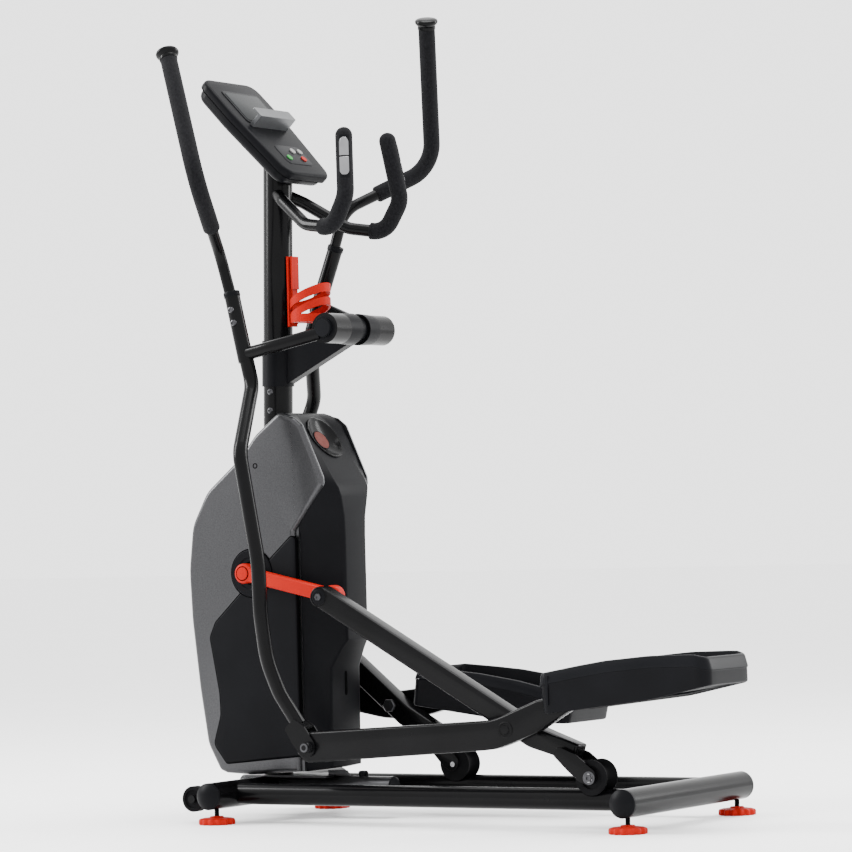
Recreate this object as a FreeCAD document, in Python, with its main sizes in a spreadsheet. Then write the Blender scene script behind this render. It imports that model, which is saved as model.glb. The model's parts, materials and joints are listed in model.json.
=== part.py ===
"""Elliptical trainer: base frame, covered drive, rail rollers, foot legs, swing arms and console.

Millimetres, +Z up, +X towards the user's end, -Y to the user's left.
The pieces are drawn from the crank axle's X position and are then moved so that the
origin is the middle of the footprint on the floor.
"""
import FreeCAD, Part
import math
import os

from FreeCAD import Vector

DOC = FreeCAD.newDocument("EllipticalTrainer")
SHEET = DOC.addObject("Spreadsheet::Sheet", "Sizes")

# Driving dimensions. X values are measured from the crank axle, Z values from the floor.
SIZES = {
    "axle_x": -398.85, "axle_z": 491.8,
    # base frame
    "base_z": 56.4, "front_tube_x": -18.0, "front_tube_r": 26.5, "front_half": 236.0,
    "rear_tube_x": 908.5, "rear_tube_r": 27.0, "rear_half": 240.0, "tube_wall": 2.0,
    "rail_y": 154.0, "rail_r": 20.75, "spine_r": 23.0, "spine_front": -92.0, "spine_rear": 264.0,
    "spine_z": 60.0, "foot_rear_y": 223.9, "foot_front_y": 210.6, "foot_disc_r": 37.0,
    "foot_disc_tall": 15.0, "foot_stem_r": 5.0, "cap_depth": 14.0,
    "cart_wheel_x": -82.0, "cart_wheel_z": 48.0, "cart_wheel_r": 25.5, "cart_wheel_y": 190.0,
    "cart_wheel_wide": 22.0,
    # mast
    "mast_r": 29.5, "mast_x": 17.9, "mast_lean": 1.64, "mast_joint_z": 804.0, "mast_top_z": 1322.0,
    # drive
    "crank_r": 212.7, "crank_drop": 13.03, "arm_in_y": 104.5, "arm_out_y": 126.5,
    "crank_boss_r": 20.0, "crank_eye_r": 22.0, "crank_tall": 28.0, "axle_r": 10.0,
    "pulley_r": 125.0, "pulley_wide": 16.0, "pulley_y": 44.0, "bearing_half": 34.0,
    "fly_x": -16.0, "fly_z": 246.0, "fly_r": 95.0, "fly_wide": 26.0, "fly_y": -50.0, "fly_pulley_r": 22.0,
    "idler_x": 72.0, "idler_z": 318.0, "idler_r": 16.0,
    # roller leg, wheel and rail contact
    "leg_len": 692.0, "leg_in_y": 131.5, "leg_out_y": 169.5, "leg_tall": 42.0, "wheel_z": 98.8,
    "wheel_r": 33.5, "wheel_wide": 44.0, "wheel_rail_gap": 0.4, "wheel_axle_r": 5.0,
    "pivot_along": 0.728, "pivot_off": -3.8, "fork_out_y": 184.5, "pin_head_y": 170.9,
    # foot leg and pedal
    "foot_link": 445.1, "foot_in_y": 176.5, "foot_out_y": 206.5, "foot_tall": 60.0, "foot_head_y": 208.4,
    "pedal_in_y": 46.0, "pedal_out_y": 235.0, "pedal_front": 92.0, "pedal_rear": 452.0, "pedal_wall": 4.0,
    # swing arm
    "hub_x": 197.9, "hub_z": 972.7, "hub_end_y": 117.0, "hub_r": 17.5, "hub_axle_r": 10.0,
    "arm_len": 819.9, "arm_r": 14.5, "sleeve_r": 15.5, "arm_y": 134.5, "link_r": 13.0,
    "cheek_in_y": 172.5, "cheek_out_y": 211.0, "cheek_thick": 3.6, "arm_bolt_y": 223.5,
    "upper_r": 11.5, "grip_r": 17.0, "knob_r": 23.5,
    # fixed handlebar
    "bar_r": 12.5, "bar_grip_r": 17.0,
    # casing
    "case_half": 90.0, "case_wall": 3.0, "case_rear": 107.0, "cover_rear": 190.0, "cover_half": 40.0,
    "cover_side": 76.0, "insert_thick": 2.5, "badge_r": 13.0, "badge_thick": 2.5,
    # console
    "console_x": 11.5, "console_z": 1386.5, "console_tilt": 46.2, "console_wide": 196.0,
    "console_tall": 280.0, "console_rise": 8.0, "console_front": 15.0, "console_back": 26.0, "key_r": 7.0, "key_travel": 1.5, "display_thick": 3.4,
}


def fill_sheet():
    """Every driving dimension is one named cell."""
    for row, (name, number) in enumerate(SIZES.items(), start=1):
        SHEET.set("A%d" % row, name)
        SHEET.set("B%d" % row, str(number))
        SHEET.setAlias("B%d" % row, name)
    DOC.recompute()


fill_sheet()


def size(name):
    """A dimension read back from the sheet."""
    return float(SHEET.get(name))


def cell(text):
    """An expression in which every $word is a cell of the sheet."""
    return text.replace("$", "Sizes.")


NODES = {}


def keep(label, node):
    """The node is a sub-part that is written under its own label."""
    node.Label = label
    NODES[label] = node
    return node


def keep_shape(label, solids):
    """A sub-part whose solids come from Part's own functions."""
    node = DOC.addObject("Part::Feature", label)
    node.Shape = solids[0] if len(solids) == 1 else Part.makeCompound(solids)
    return keep(label, node)


# --- geometry helpers -------------------------------------------------------------------------

def turned(point, angle):
    """A point of the XZ plane, (x, z), turned by angle so that a positive one lifts +X to +Z."""
    c, s = math.cos(angle), math.sin(angle)
    return (c * point[0] - s * point[1], s * point[0] + c * point[1])


def placed(point, origin, angle):
    """A point given in a link's own frame, moved to the machine's XZ plane."""
    x, z = turned(point, angle)
    return (origin[0] + x, origin[1] + z)


def meet(centre_a, radius_a, centre_b, radius_b):
    """The meeting point of two circles that lies further forward."""
    dx, dz = centre_b[0] - centre_a[0], centre_b[1] - centre_a[1]
    span = math.hypot(dx, dz)
    along = (radius_a ** 2 - radius_b ** 2 + span ** 2) / (2.0 * span)
    off = math.sqrt(radius_a ** 2 - along ** 2)
    foot = (centre_a[0] + along * dx / span, centre_a[1] + along * dz / span)
    both = [(foot[0] - k * off * dz / span, foot[1] + k * off * dx / span) for k in (1, -1)]
    return min(both)


def linkage(side):
    """Pin centres and link angles of one side: -1 is the left, 1 is the right."""
    drop = math.radians(size("crank_drop"))
    reach = -side * size("crank_r")
    pin = (reach * math.cos(drop), size("axle_z") - reach * math.sin(drop))
    leg = size("leg_len")
    fall = pin[1] - size("wheel_z")
    wheel = (pin[0] + math.sqrt(leg ** 2 - fall ** 2), size("wheel_z"))
    leg_angle = math.atan2(wheel[1] - pin[1], wheel[0] - pin[0])
    pivot = placed((size("pivot_along") * leg, size("pivot_off")), pin, leg_angle)
    hub = (size("hub_x"), size("hub_z"))
    toe = meet(pivot, size("foot_link"), hub, size("arm_len"))
    return {
        "pin": pin, "wheel": wheel, "pivot": pivot, "toe": toe, "hub": hub, "leg_angle": leg_angle,
        "foot_angle": math.atan2(pivot[1] - toe[1], pivot[0] - toe[0]),
        "arm_angle": math.atan2(toe[0] - hub[0], hub[1] - toe[1]),
    }


def rod(radius, start, end):
    """A solid round bar between two points."""
    axis = Vector(*end) - Vector(*start)
    return Part.makeCylinder(radius, axis.Length, Vector(*start), axis)


def cross_rod(radius, centre, low_y, high_y):
    """A bar along Y at an XZ centre."""
    return Part.makeCylinder(radius, high_y - low_y, Vector(centre[0], low_y, centre[1]), Vector(0, 1, 0))


def side_rod(radius, centre, side, near, far):
    """A bar along Y on one side, between two distances from the middle plane."""
    low, high = sorted((side * near, side * far))
    return cross_rod(radius, centre, low, high)


def bent_path(points, radii):
    """Straight runs joined by tangent arcs, one radius for each inner point."""
    spots = [Vector(*p) for p in points]
    edges = []
    here = spots[0]
    for before, corner, after, radius in zip(spots, spots[1:], spots[2:], radii):
        back = (before - corner).normalize()
        ahead = (after - corner).normalize()
        half = back.getAngle(ahead) / 2.0
        reach = radius / math.tan(half)
        start, end = corner + back * reach, corner + ahead * reach
        middle = corner + (back + ahead).normalize() * (radius / math.sin(half) - radius)
        edges.append(Part.LineSegment(here, start).toShape())
        edges.append(Part.Arc(start, middle, end).toShape())
        here = end
    edges.append(Part.LineSegment(here, spots[-1]).toShape())
    return Part.Wire(edges)


def bent_tube(points, radii, outer, wall=0.0):
    """A round tube, or a solid bar where wall is zero, along a bent path."""
    path = bent_path(points, radii)
    first = Vector(*points[1]) - Vector(*points[0])

    def sweep(radius):
        ring = Part.Wire([Part.makeCircle(radius, Vector(*points[0]), first)])
        return path.makePipeShell([ring], True, False, 2)
    tube = sweep(outer)
    return tube.cut(sweep(outer - wall)) if wall else tube


def rounded(points):
    """Line and arc curves of a closed outline of (x, z, corner radius) points."""
    corners = []
    count = len(points)
    for i, (x, z, radius) in enumerate(points):
        corner = Vector(x, z, 0)
        before = Vector(points[i - 1][0], points[i - 1][1], 0)
        after = Vector(points[(i + 1) % count][0], points[(i + 1) % count][1], 0)
        back, ahead = (before - corner).normalize(), (after - corner).normalize()
        half = back.getAngle(ahead) / 2.0
        if radius <= 0.0:
            corners.append((corner, None, corner))
            continue
        reach = radius / math.tan(half)
        middle = corner + (back + ahead).normalize() * (radius / math.sin(half) - radius)
        corners.append((corner + back * reach, middle, corner + ahead * reach))
    curves = []
    for (start, middle, end), (following, _, _) in zip(corners, corners[1:] + corners[:1]):
        if middle is not None:
            curves.append(Part.Arc(start, middle, end))
        if (following - end).Length > 1e-6:
            curves.append(Part.LineSegment(end, following))
    return curves


def inset(points, gap):
    """The same outline moved inwards by gap; the points run anticlockwise."""
    count = len(points)
    moved = []
    for i, (x, z, radius) in enumerate(points):
        px, pz = points[i - 1][:2]
        nx, nz = points[(i + 1) % count][:2]
        ax, az = x - px, z - pz
        bx, bz = nx - x, nz - z
        la, lb = math.hypot(ax, az), math.hypot(bx, bz)
        na, nb = (-az / la, ax / la), (-bz / lb, bx / lb)
        grow = gap / (1.0 + na[0] * nb[0] + na[1] * nb[1])
        moved.append((x + (na[0] + nb[0]) * grow, z + (na[1] + nb[1]) * grow, max(radius - gap, 0.0)))
    return moved


def prism(points, low_y, high_y):
    """A solid of an XZ outline between two Y planes."""
    edges = [curve.toShape() for curve in rounded(points)]
    face = Part.Face(Part.Wire(edges))
    face.rotate(Vector(0, 0, 0), Vector(1, 0, 0), 90)
    face.translate(Vector(0, low_y, 0))
    return face.extrude(Vector(0, high_y - low_y, 0))


def mirrored(shape):
    """The same shape on the other side of the middle plane."""
    return shape.mirror(Vector(0, 0, 0), Vector(0, 1, 0))


def side_placement(x, y, z, side):
    """The place of a turned piece whose own +Y points outwards on either side."""
    return FreeCAD.Placement(Vector(x, side * y, z), FreeCAD.Rotation(Vector(0, 0, 1), 0 if side > 0 else 180))


def link_placement(origin, angle):
    """Moves a shape drawn in a link's own XZ frame to its place in the machine."""
    turn = FreeCAD.Rotation(Vector(0, -1, 0), math.degrees(angle))
    return FreeCAD.Placement(Vector(origin[0], 0, origin[1]), turn)


# --- parametric helpers: bodies and primitives ------------------------------------------------

def origin_plane(body, role):
    """One of the body's own origin planes."""
    return next(f for f in body.Origin.OriginFeatures if f.Role == role)


def add_sketch(body, name, role, curves):
    """A sketch on one of the body's origin planes."""
    sketch = body.newObject("Sketcher::SketchObject", name)
    sketch.AttachmentSupport = (origin_plane(body, role), [""])
    sketch.MapMode = "FlatFace"
    sketch.addGeometry(curves, False)
    return sketch


def add_pad(body, sketch, length, reverse=False):
    """The sketch padded by an expression."""
    pad = body.newObject("PartDesign::Pad", sketch.Name + "Pad")
    pad.Profile = sketch
    pad.setExpression("Length", cell(length))
    pad.Reversed = reverse
    body.Tip = pad
    DOC.recompute()
    return pad


def add_pocket(body, sketch, length, reverse=False):
    """The sketch cut into the body by an expression; it has to take volume away."""
    before = body.Tip.Shape.Volume
    pocket = body.newObject("PartDesign::Pocket", sketch.Name + "Pocket")
    pocket.Profile = sketch
    pocket.setExpression("Length", cell(length))
    pocket.Reversed = reverse
    body.Tip = pocket
    DOC.recompute()
    assert pocket.Shape.Volume < before - 1.0, sketch.Name
    return pocket


def new_body(label):
    """A PartDesign body that is a sub-part."""
    return keep(label, DOC.addObject("PartDesign::Body", label))


def circle_curve(x, z, radius):
    """A circle for a sketch."""
    return Part.Circle(Vector(x, z, 0), Vector(0, 0, 1), radius)


def turned_body(label, corners, place, groove=None):
    """A body of revolution about its own Y axis from (radius, y) corners.

    A groove is (corner index, middle point): that side of the profile is an arc.
    """
    body = new_body(label)
    spots = [Vector(r, y, 0) for r, y in corners]
    curves = []
    for i, (here, after) in enumerate(zip(spots, spots[1:] + spots[:1])):
        if groove and groove[0] == i:
            curves.append(Part.Arc(here, Vector(groove[1][0], groove[1][1], 0), after))
        else:
            curves.append(Part.LineSegment(here, after))
    sketch = add_sketch(body, label + "Profile", "XY_Plane", curves)
    turn = body.newObject("PartDesign::Revolution", label + "Turn")
    turn.Profile = sketch
    turn.ReferenceAxis = (sketch, ["V_Axis"])
    turn.Angle = 360.0
    body.Tip = turn
    body.Placement = place
    DOC.recompute()
    return body


def cylinder(name, radius, height, base, axis):
    """A Part cylinder whose radius and height are expressions."""
    solid = DOC.addObject("Part::Cylinder", name)
    solid.setExpression("Radius", cell(radius))
    solid.setExpression("Height", cell(height))
    turn = FreeCAD.Rotation(Vector(0, 0, 1), Vector(*axis))
    solid.Placement = FreeCAD.Placement(Vector(*base), turn)
    return solid


def cut(name, base, tool):
    """A Part cut of two document objects."""
    result = DOC.addObject("Part::Cut", name)
    result.Base = base
    result.Tool = tool
    return result


def fuse(name, parts):
    """A Part fusion of document objects."""
    result = DOC.addObject("Part::MultiFuse", name)
    result.Shapes = parts
    return result


def hollow_tube(name, radius, height, base, axis):
    """A round tube of the frame's wall thickness."""
    outer = cylinder(name + "Outer", radius, height, base, axis)
    inner = cylinder(name + "Inner", radius + " - $tube_wall", height, base, axis)
    return cut(name, outer, inner)


SIDES = {"left": -1, "right": 1}


# --- base frame -------------------------------------------------------------------------------

def build_base():
    """Two cross tubes on screw feet, two rails for the rollers and the spine under the mast."""
    base_z, rail_y = size("base_z"), size("rail_y")
    front_x, rear_x = size("front_tube_x"), size("rear_tube_x")
    for label, x, radius, half in (
        ("front_stabilizer", front_x, "$front_tube_r", "$front_half"),
        ("rear_stabilizer", rear_x, "$rear_tube_r", "$rear_half"),
    ):
        low = (x, -size(half[1:]), base_z)
        tube = hollow_tube(label + "Tube", radius, "2 * " + half, low, (0, 1, 0))
        stems = [
            cylinder(label + "Stem%d" % i, "$foot_stem_r + 0.05", "60", (x, y, 0), (0, 0, 1))
            for i, y in enumerate(foot_spots(x))
        ]
        drilled = cut(label + "Drilled", tube, fuse(label + "Stems", stems))
        keep(label, fuse(label, [drilled] + wheel_lugs()) if x == front_x else drilled)

    caps = []
    for x, radius, half in ((front_x, "front_tube_r", "front_half"), (rear_x, "rear_tube_r", "rear_half")):
        dome = Part.makeSphere(size(radius) * 1.6)
        dome.translate(Vector(0, size("cap_depth") - size(radius) * 1.6, 0))
        for side in SIDES.values():
            cap = cross_rod(size(radius), (0, 0), 0, size("cap_depth")).common(dome)
            if side < 0:
                cap = mirrored(cap)
            cap.translate(Vector(x, side * size(half), base_z))
            caps.append(cap)
    keep_shape("stabilizer_end_caps", caps)

    for label, side in SIDES.items():
        start = (front_x, side * rail_y, base_z)
        bar = hollow_tube(label + "RailTube", "$rail_r", "$rear_tube_x - $front_tube_x", start, (1, 0, 0))
        ends = [
            cylinder(label + "RailCope%d" % i, radius, "120", (x, side * rail_y - 60, base_z), (0, 1, 0))
            for i, (x, radius) in enumerate(((front_x, "$front_tube_r"), (rear_x, "$rear_tube_r")))
        ]
        keep(label + "_rail", cut(label + "Rail", bar, fuse(label + "Copes", ends)))

    spine = rod(size("spine_r"), (size("spine_front"), 0, size("spine_z")),
                (size("spine_rear"), 0, size("spine_z")))
    brace = prism([(112, 76, 0), (168, 76, 0), (154, 94, 0), (112, 94, 0)], -3, 3)
    tray = prism([(-64, 81, 0), (130, 81, 0), (130, 85, 0), (-64, 85, 0)], -40, 40)
    front_tube = cross_rod(size("front_tube_r"), (front_x, base_z), -60, 60)
    keep_shape("base_spine", [spine.multiFuse([brace, tray]).cut(front_tube).removeSplitter()])


def foot_spots(x):
    """Y places of the two screw feet under a cross tube."""
    y = size("foot_rear_y") if x > 100 else size("foot_front_y")
    return (-y, y)


def build_feet():
    """Four screw feet: a lobed hand disc with a threaded stem, and two transport wheels."""
    disc_r, tall, base_z = size("foot_disc_r"), size("foot_disc_tall"), size("base_z")
    lobes = 12
    for end, x in (("front", size("front_tube_x")), ("rear", size("rear_tube_x"))):
        for label, side in SIDES.items():
            y = side * abs(foot_spots(x)[0])
            disc = Part.makeCone(disc_r, disc_r - 5.0, tall, Vector(x, y, 0))
            for k in range(lobes):
                a = 2.0 * math.pi * (k + 0.5) / lobes
                spot = Vector(x + (disc_r + 1.0) * math.cos(a), y + (disc_r + 1.0) * math.sin(a), -1.0)
                disc = disc.cut(Part.makeCylinder(4.0, tall + 2.0, spot))
            stem = Part.makeCylinder(size("foot_stem_r"), base_z - 4.0 - tall, Vector(x, y, tall))
            keep_shape("%s_%s_foot" % (label, end), [disc.fuse(stem).removeSplitter()])

    radius, half = size("cart_wheel_r"), size("cart_wheel_wide") / 2.0
    profile = [(5.05, -half), (radius - 1.5, -half), (radius, 1.5 - half), (radius, half - 1.5), (radius - 1.5, half),
               (radius - 7.0, half), (radius - 7.0, half - 3.0), (9.0, half - 3.0), (9.0, half), (5.05, half)]
    for label, side in SIDES.items():
        place = side_placement(size("cart_wheel_x"), size("cart_wheel_y"), size("cart_wheel_z"), side)
        turned_body(label + "_transport_wheel", profile, place)


def wheel_lugs():
    """The welded lugs and axles that carry the transport wheels on the front tube."""
    spot = (size("cart_wheel_x"), size("cart_wheel_z"))
    middle, half = size("cart_wheel_y"), size("cart_wheel_wide") / 2.0
    front_x, base_z = size("front_tube_x"), size("base_z")
    solids = []
    for side in SIDES.values():
        near = middle - half - 0.8
        lug = prism([(spot[0] - 12, spot[1] - 12, 8), (front_x, base_z - 16, 0), (front_x, base_z + 16, 0),
                     (spot[0] - 12, spot[1] + 12, 8)], near - 4.0, near)
        lug = lug if side > 0 else mirrored(lug)
        lug = lug.cut(cross_rod(size("front_tube_r"), (front_x, base_z), -400, 400))
        axle = side_rod(5.0, spot, side, near - 4.0, middle + half + 1.5)
        head = side_rod(8.0, spot, side, middle + half + 1.5, middle + half + 4.5)
        holder = DOC.addObject("Part::Feature", "WheelLug")
        holder.Shape = lug.fuse(axle).fuse(head).removeSplitter()
        solids.append(holder)
    return solids


# --- mast, pivot bracket and fixed handlebar --------------------------------------------------

def mast_point(z, off=0.0):
    """A point on the mast's leaning axis."""
    x = size("mast_x") + math.tan(math.radians(size("mast_lean"))) * (z - 1000.0)
    return (x + off, 0.0, z)


def build_mast():
    """A lower mast on the spine and an upper mast that slips over its neck."""
    r, wall, joint = size("mast_r"), size("tube_wall"), size("mast_joint_z")
    low, seat, neck_top = mast_point(85.2), mast_point(joint), mast_point(joint + 95.0)
    lower = rod(r, low, seat).cut(rod(r - wall, mast_point(80), mast_point(joint - 6)))
    neck = rod(r - wall - 0.3, seat, neck_top)
    neck = neck.cut(rod(r - wall - 2.5, mast_point(joint - 8), mast_point(joint + 99)))
    flush = Part.makeBox(200, 200, 20, Vector(-100, -100, 65.2))
    post = lower.fuse(neck).cut(flush)
    for centre, shell_r, bore_r in (
        ((0.0, size("axle_z")), 20.0, size("axle_r") + 0.05),
        ((size("fly_x"), size("fly_z")), 16.0, 8.05),
    ):
        reach = size("bearing_half")
        post = post.fuse(cross_rod(shell_r, centre, -reach, reach)).cut(cross_rod(bore_r, centre, -90, 90))
    keep_shape("mast_lower", [post.removeSplitter()])
    upper = rod(r, mast_point(joint + 0.4), mast_point(size("mast_top_z")))
    upper = upper.cut(rod(r - wall, mast_point(joint - 4), mast_point(size("mast_top_z") - 4)))
    keep_shape("mast_upper", [upper])

    bolts = []
    for z in (817.0, 855.0):
        x = mast_point(z)[0]
        for axis in (Vector(0, -1, 0), Vector(-1, 0, 0)):
            spot = Vector(x, 0, z) + axis * (r + 0.1)
            dome = Part.makeSphere(7.5, spot - axis * 3.5).cut(
                Part.makeCylinder(9, 20, spot - axis * 20, axis))
            socket = Part.makeCylinder(2.6, 8, spot + axis * 1.5, axis)
            bolts.append(dome.cut(socket))
    x, z = 193.0, size("spine_z") + size("spine_r") - 0.6
    bolts.append(Part.makeCylinder(8.5, 7, Vector(x, 0, z)).cut(Part.makeCylinder(3, 5, Vector(x, 0, z + 3))))
    keep_shape("frame_bolts", bolts)


def build_pivot():
    """The gusset that holds the swing-arm shaft behind the mast."""
    hub = (size("hub_x"), size("hub_z"))
    barrel = cross_rod(25.0, hub, -12.0, 12.0)
    bore = cross_rod(size("hub_axle_r"), hub, -13.0, 13.0)
    mast = rod(size("mast_r") + 0.2, mast_point(780), mast_point(1100))
    ring = rod(size("mast_r") + 3.0, mast_point(866), mast_point(958)).cut(mast)
    web = prism([(20, 868, 0), (40, 868, 0), (hub[0] + 8, hub[1] - 22, 0), (hub[0], hub[1] + 24, 0),
                 (20, 955, 0)], -12.0, 12.0)
    core = prism([(20, 876, 0), (44, 876, 0), (hub[0] - 8, hub[1] - 16, 0), (hub[0] - 8, hub[1] + 17, 0),
                  (20, 946, 0)], -9.0, 9.0)
    web = web.cut(core.cut(cross_rod(25.0, hub, -12.0, 12.0)))
    bracket = web.fuse(barrel).cut(mast).fuse(ring).cut(bore).removeSplitter()
    keep_shape("pivot_bracket", [bracket])
    shaft = cylinder("PivotShaft", "$hub_axle_r", "2 * $hub_end_y - 8",
                     (hub[0], 4 - size("hub_end_y"), hub[1]), (0, 1, 0))
    keep("pivot_shaft", shaft)


BAR_SPOTS = [(0, 24, 1256), (62, 40, 1236), (140, 78, 1182), (217, 98, 1170), (252, 103, 1232), (238, 82, 1352)]
BAR_BENDS = [30, 60, 38, 44]


def build_bar():
    """The fixed handlebar: two bent tubes, foam grips and hand pulse plates."""
    root = mast_point(1256.0)
    bars, grips, plates = [], [], []
    for side in SIDES.values():
        spots = [(x, side * y, z) for x, y, z in BAR_SPOTS]
        start = [(root[0], side * 8.0, 1258.0)] + spots[1:]
        tube = bent_tube(start, BAR_BENDS, size("bar_r"))
        tube = tube.cut(rod(size("mast_r") + 0.1, mast_point(1150), mast_point(1330)))
        bars.append(tube)
        upper = [spots[2], spots[3], spots[4], spots[5]]
        toward = Vector(*upper[1]) - Vector(*upper[0])
        upper[0] = tuple(Vector(*upper[0]) + toward * 0.62)
        foam = bent_tube(upper, BAR_BENDS[2:], size("bar_grip_r"))
        foam = foam.cut(bent_tube(start, BAR_BENDS, size("bar_r") + 0.01))
        tip = Vector(*spots[5])
        end_dir = (tip - Vector(*spots[4])).normalize()
        foam = foam.fuse(Part.makeSphere(size("bar_grip_r"), tip).cut(
            Part.makeCylinder(20, 40, tip - end_dir * 40, end_dir))).removeSplitter()
        foot = tip - end_dir * 88
        sleeve = Part.makeCylinder(size("bar_grip_r") + 1.0, 82, foot, end_dir)
        sleeve = sleeve.cut(Part.makeCylinder(size("bar_grip_r") + 0.01, 90, foot - end_dir * 2, end_dir))
        gap = Part.makeBox(60, 60, 200, Vector(-30, -30, -100))
        gap.Placement = FreeCAD.Placement(foot + end_dir * 40 + Vector(-24, 0, 0),
                                          FreeCAD.Rotation(Vector(0, 0, 1), end_dir))
        band = Part.makeBox(80, 80, 4, Vector(-40, -40, -2))
        band.Placement = FreeCAD.Placement(foot + end_dir * 41, FreeCAD.Rotation(Vector(0, 0, 1), end_dir))
        plates += sleeve.cut(gap).cut(band).Solids
        grips.append(foam)
    keep_shape("fixed_handlebar", bars)
    keep_shape("fixed_handlebar_grips", grips)
    keep_shape("pulse_sensors", plates)


def build_bottle_holder():
    """A back plate on the mast, sloping rings and a cup bottom for a bottle."""
    low, high, x = 985.0, 1126.0, mast_point(1050.0, size("mast_r"))[0] + 2.0
    plate = Part.makeBox(4, 30, high - low, Vector(x, -15, low))
    flange = Part.makeBox(4, 24, high - 1060, Vector(x + 8, -12, 1060))
    link = Part.makeBox(8.2, 10, high - 1066, Vector(x + 3.9, -5, 1066))
    centre = Vector(x + 46, 0, 0)
    floor = Part.makeCylinder(30, 4, Vector(centre.x, 0, 992))
    floor = floor.cut(Part.makeCylinder(12, 8, Vector(centre.x, 0, 990)))
    shell = Part.makeCylinder(41, 78, Vector(centre.x, 0, 992)).cut(
        Part.makeCylinder(37, 90, Vector(centre.x, 0, 986)))

    def band(rear_z, tall):
        slab = Part.makeBox(120, 110, tall, Vector(-60, -55, 0))
        slab.Placement = FreeCAD.Placement(Vector(centre.x, 0, rear_z), FreeCAD.Rotation(Vector(0, -1, 0), 24))
        return shell.common(slab)
    neck = Part.makeBox(12, 18, 70, Vector(x, -9, 990)).cut(Part.makeCylinder(37, 90, Vector(centre.x, 0, 986)))
    foot = shell.common(Part.makeBox(100, 100, 16, Vector(centre.x - 50, -50, 992)))
    inner = Part.makeCylinder(37.5, 4, Vector(centre.x, 0, 992)).cut(
        Part.makeCylinder(12, 8, Vector(centre.x, 0, 990)))
    holder = plate.multiFuse([flange, link, band(1034, 16), band(1008, 14), neck, foot, inner, floor])
    keep_shape("bottle_holder", [holder.removeSplitter()])


# --- drive casing -----------------------------------------------------------------------------

CASE = [(-76, 92, 12), (-20, 89, 0), (107, 96, 0), (107, 792, 0), (92, 802, 6), (67, 809, 14), (12, 768, 60),
        (-26, 723, 80), (-108, 657, 70), (-145, 590, 80), (-156, 500, 200), (-152, 400, 200),
        (-137, 262, 200), (-120, 150, 60), (-92, 98, 14)]
INSERT = [(-70, 112, 8), (98, 130, 0), (98, 566, 6), (30, 503, 4), (-24, 452, 4), (-90, 392, 8), (-103, 362, 14),
          (-84, 256, 40), (-82, 208, 40), (-98, 150, 14)]
COVER = [(108, 96, 0), (156, 104, 6), (158, 300, 10), (190, 352, 16), (190, 668, 24), (108, 786, 0)]


def mast_clearance():
    """The round opening that the casing leaves about the mast."""
    return rod(size("mast_r") + 1.5, mast_point(86.0), mast_point(900.0))


def spine_clearance():
    """The notch that the casing leaves over the spine tray."""
    return Part.makeBox(230, 84, 30, Vector(-80, -42, 60))


def build_casing():
    """Two casing halves, their dark side inserts, the rear cover and its medallion."""
    wall, half = size("case_wall"), size("case_half")
    for label, side in SIDES.items():
        outer = prism(CASE, 0.15, half)
        inner = prism(inset(CASE, wall), 0.0, half - wall)
        shell = outer.cut(inner)
        shell = shell if side > 0 else mirrored(shell)
        axle = side_rod(size("crank_boss_r") + 4.0, (0, size("axle_z")), side, 50, 120)
        shell = shell.cut(axle).cut(mast_clearance()).cut(spine_clearance())
        low, high = sorted((0.0, side * (half - 14.0)))
        shell = shell.cut(Part.makeBox(20, high - low, 660, Vector(95, low, 112)))
        ring = side_rod(46.0, (0, size("axle_z")), side, half - 1.0, half + 5.0)
        ring = ring.cut(side_rod(size("crank_boss_r") + 4.0, (0, size("axle_z")), side, 50, 120))
        shell = shell.fuse(ring).removeSplitter()
        keep_shape(label + "_casing", [max(shell.Solids, key=lambda s: s.Volume)])
    inserts = []
    for side in SIDES.values():
        plate = prism(INSERT, half + 0.05, half + 0.05 + size("insert_thick"))
        plate = plate if side > 0 else mirrored(plate)
        inserts.append(plate.cut(side_rod(48.0, (0, size("axle_z")), side, 50, 120)))
    keep_shape("casing_side_inserts", inserts)

    def wedge(gap):
        side, flat, rear = size("cover_side") - gap, size("cover_half") - gap, size("cover_rear")
        corners = [(100, -side), (116, -side), (rear, -flat), (rear, flat), (116, side), (100, side)]
        face = Part.Face(Part.makePolygon([Vector(x, y, 0) for x, y in corners + corners[:1]]))
        return face.extrude(Vector(0, 0, 900))
    cover = prism(COVER, -100, 100).common(wedge(0.0))
    hollow = prism(inset(COVER, wall), -100, 100).common(wedge(wall))
    mouth = prism([(90, 100, 0), (112, 100, 0), (112, 788, 0), (90, 788, 0)], -73, 73)
    cover = cover.cut(hollow).cut(mouth)
    slope = Vector(0.821, 0, 0.571)
    along = Vector(-0.571, 0, 0.821)
    seat = Vector(115.5, 0, 749.0)

    def dish(radius, low, high):
        start, last = seat - along * 30 + slope * low, seat + along * 30 + slope * low
        flat = [start + Vector(0, radius, 0), start - Vector(0, radius, 0), last - Vector(0, radius, 0),
                last + Vector(0, radius, 0)]
        middle = Part.Face(Part.makePolygon(flat + flat[:1])).extrude(slope * (high - low))
        ends = [Part.makeCylinder(radius, high - low, spot, slope) for spot in (start, last)]
        return middle.multiFuse(ends)
    backing = dish(25.0, 3.0, 14.0).common(prism(COVER, -100, 100))
    cover = cover.fuse(backing).cut(dish(22.0, 8.0, 60.0)).removeSplitter()
    keep_shape("rear_cover", [max(cover.Solids, key=lambda s: s.Volume)])
    keep("rear_medallion", cylinder("Medallion", "$badge_r", "$badge_thick", seat + slope * 8.05, slope))


# --- drive inside the casing ------------------------------------------------------------------

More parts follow.
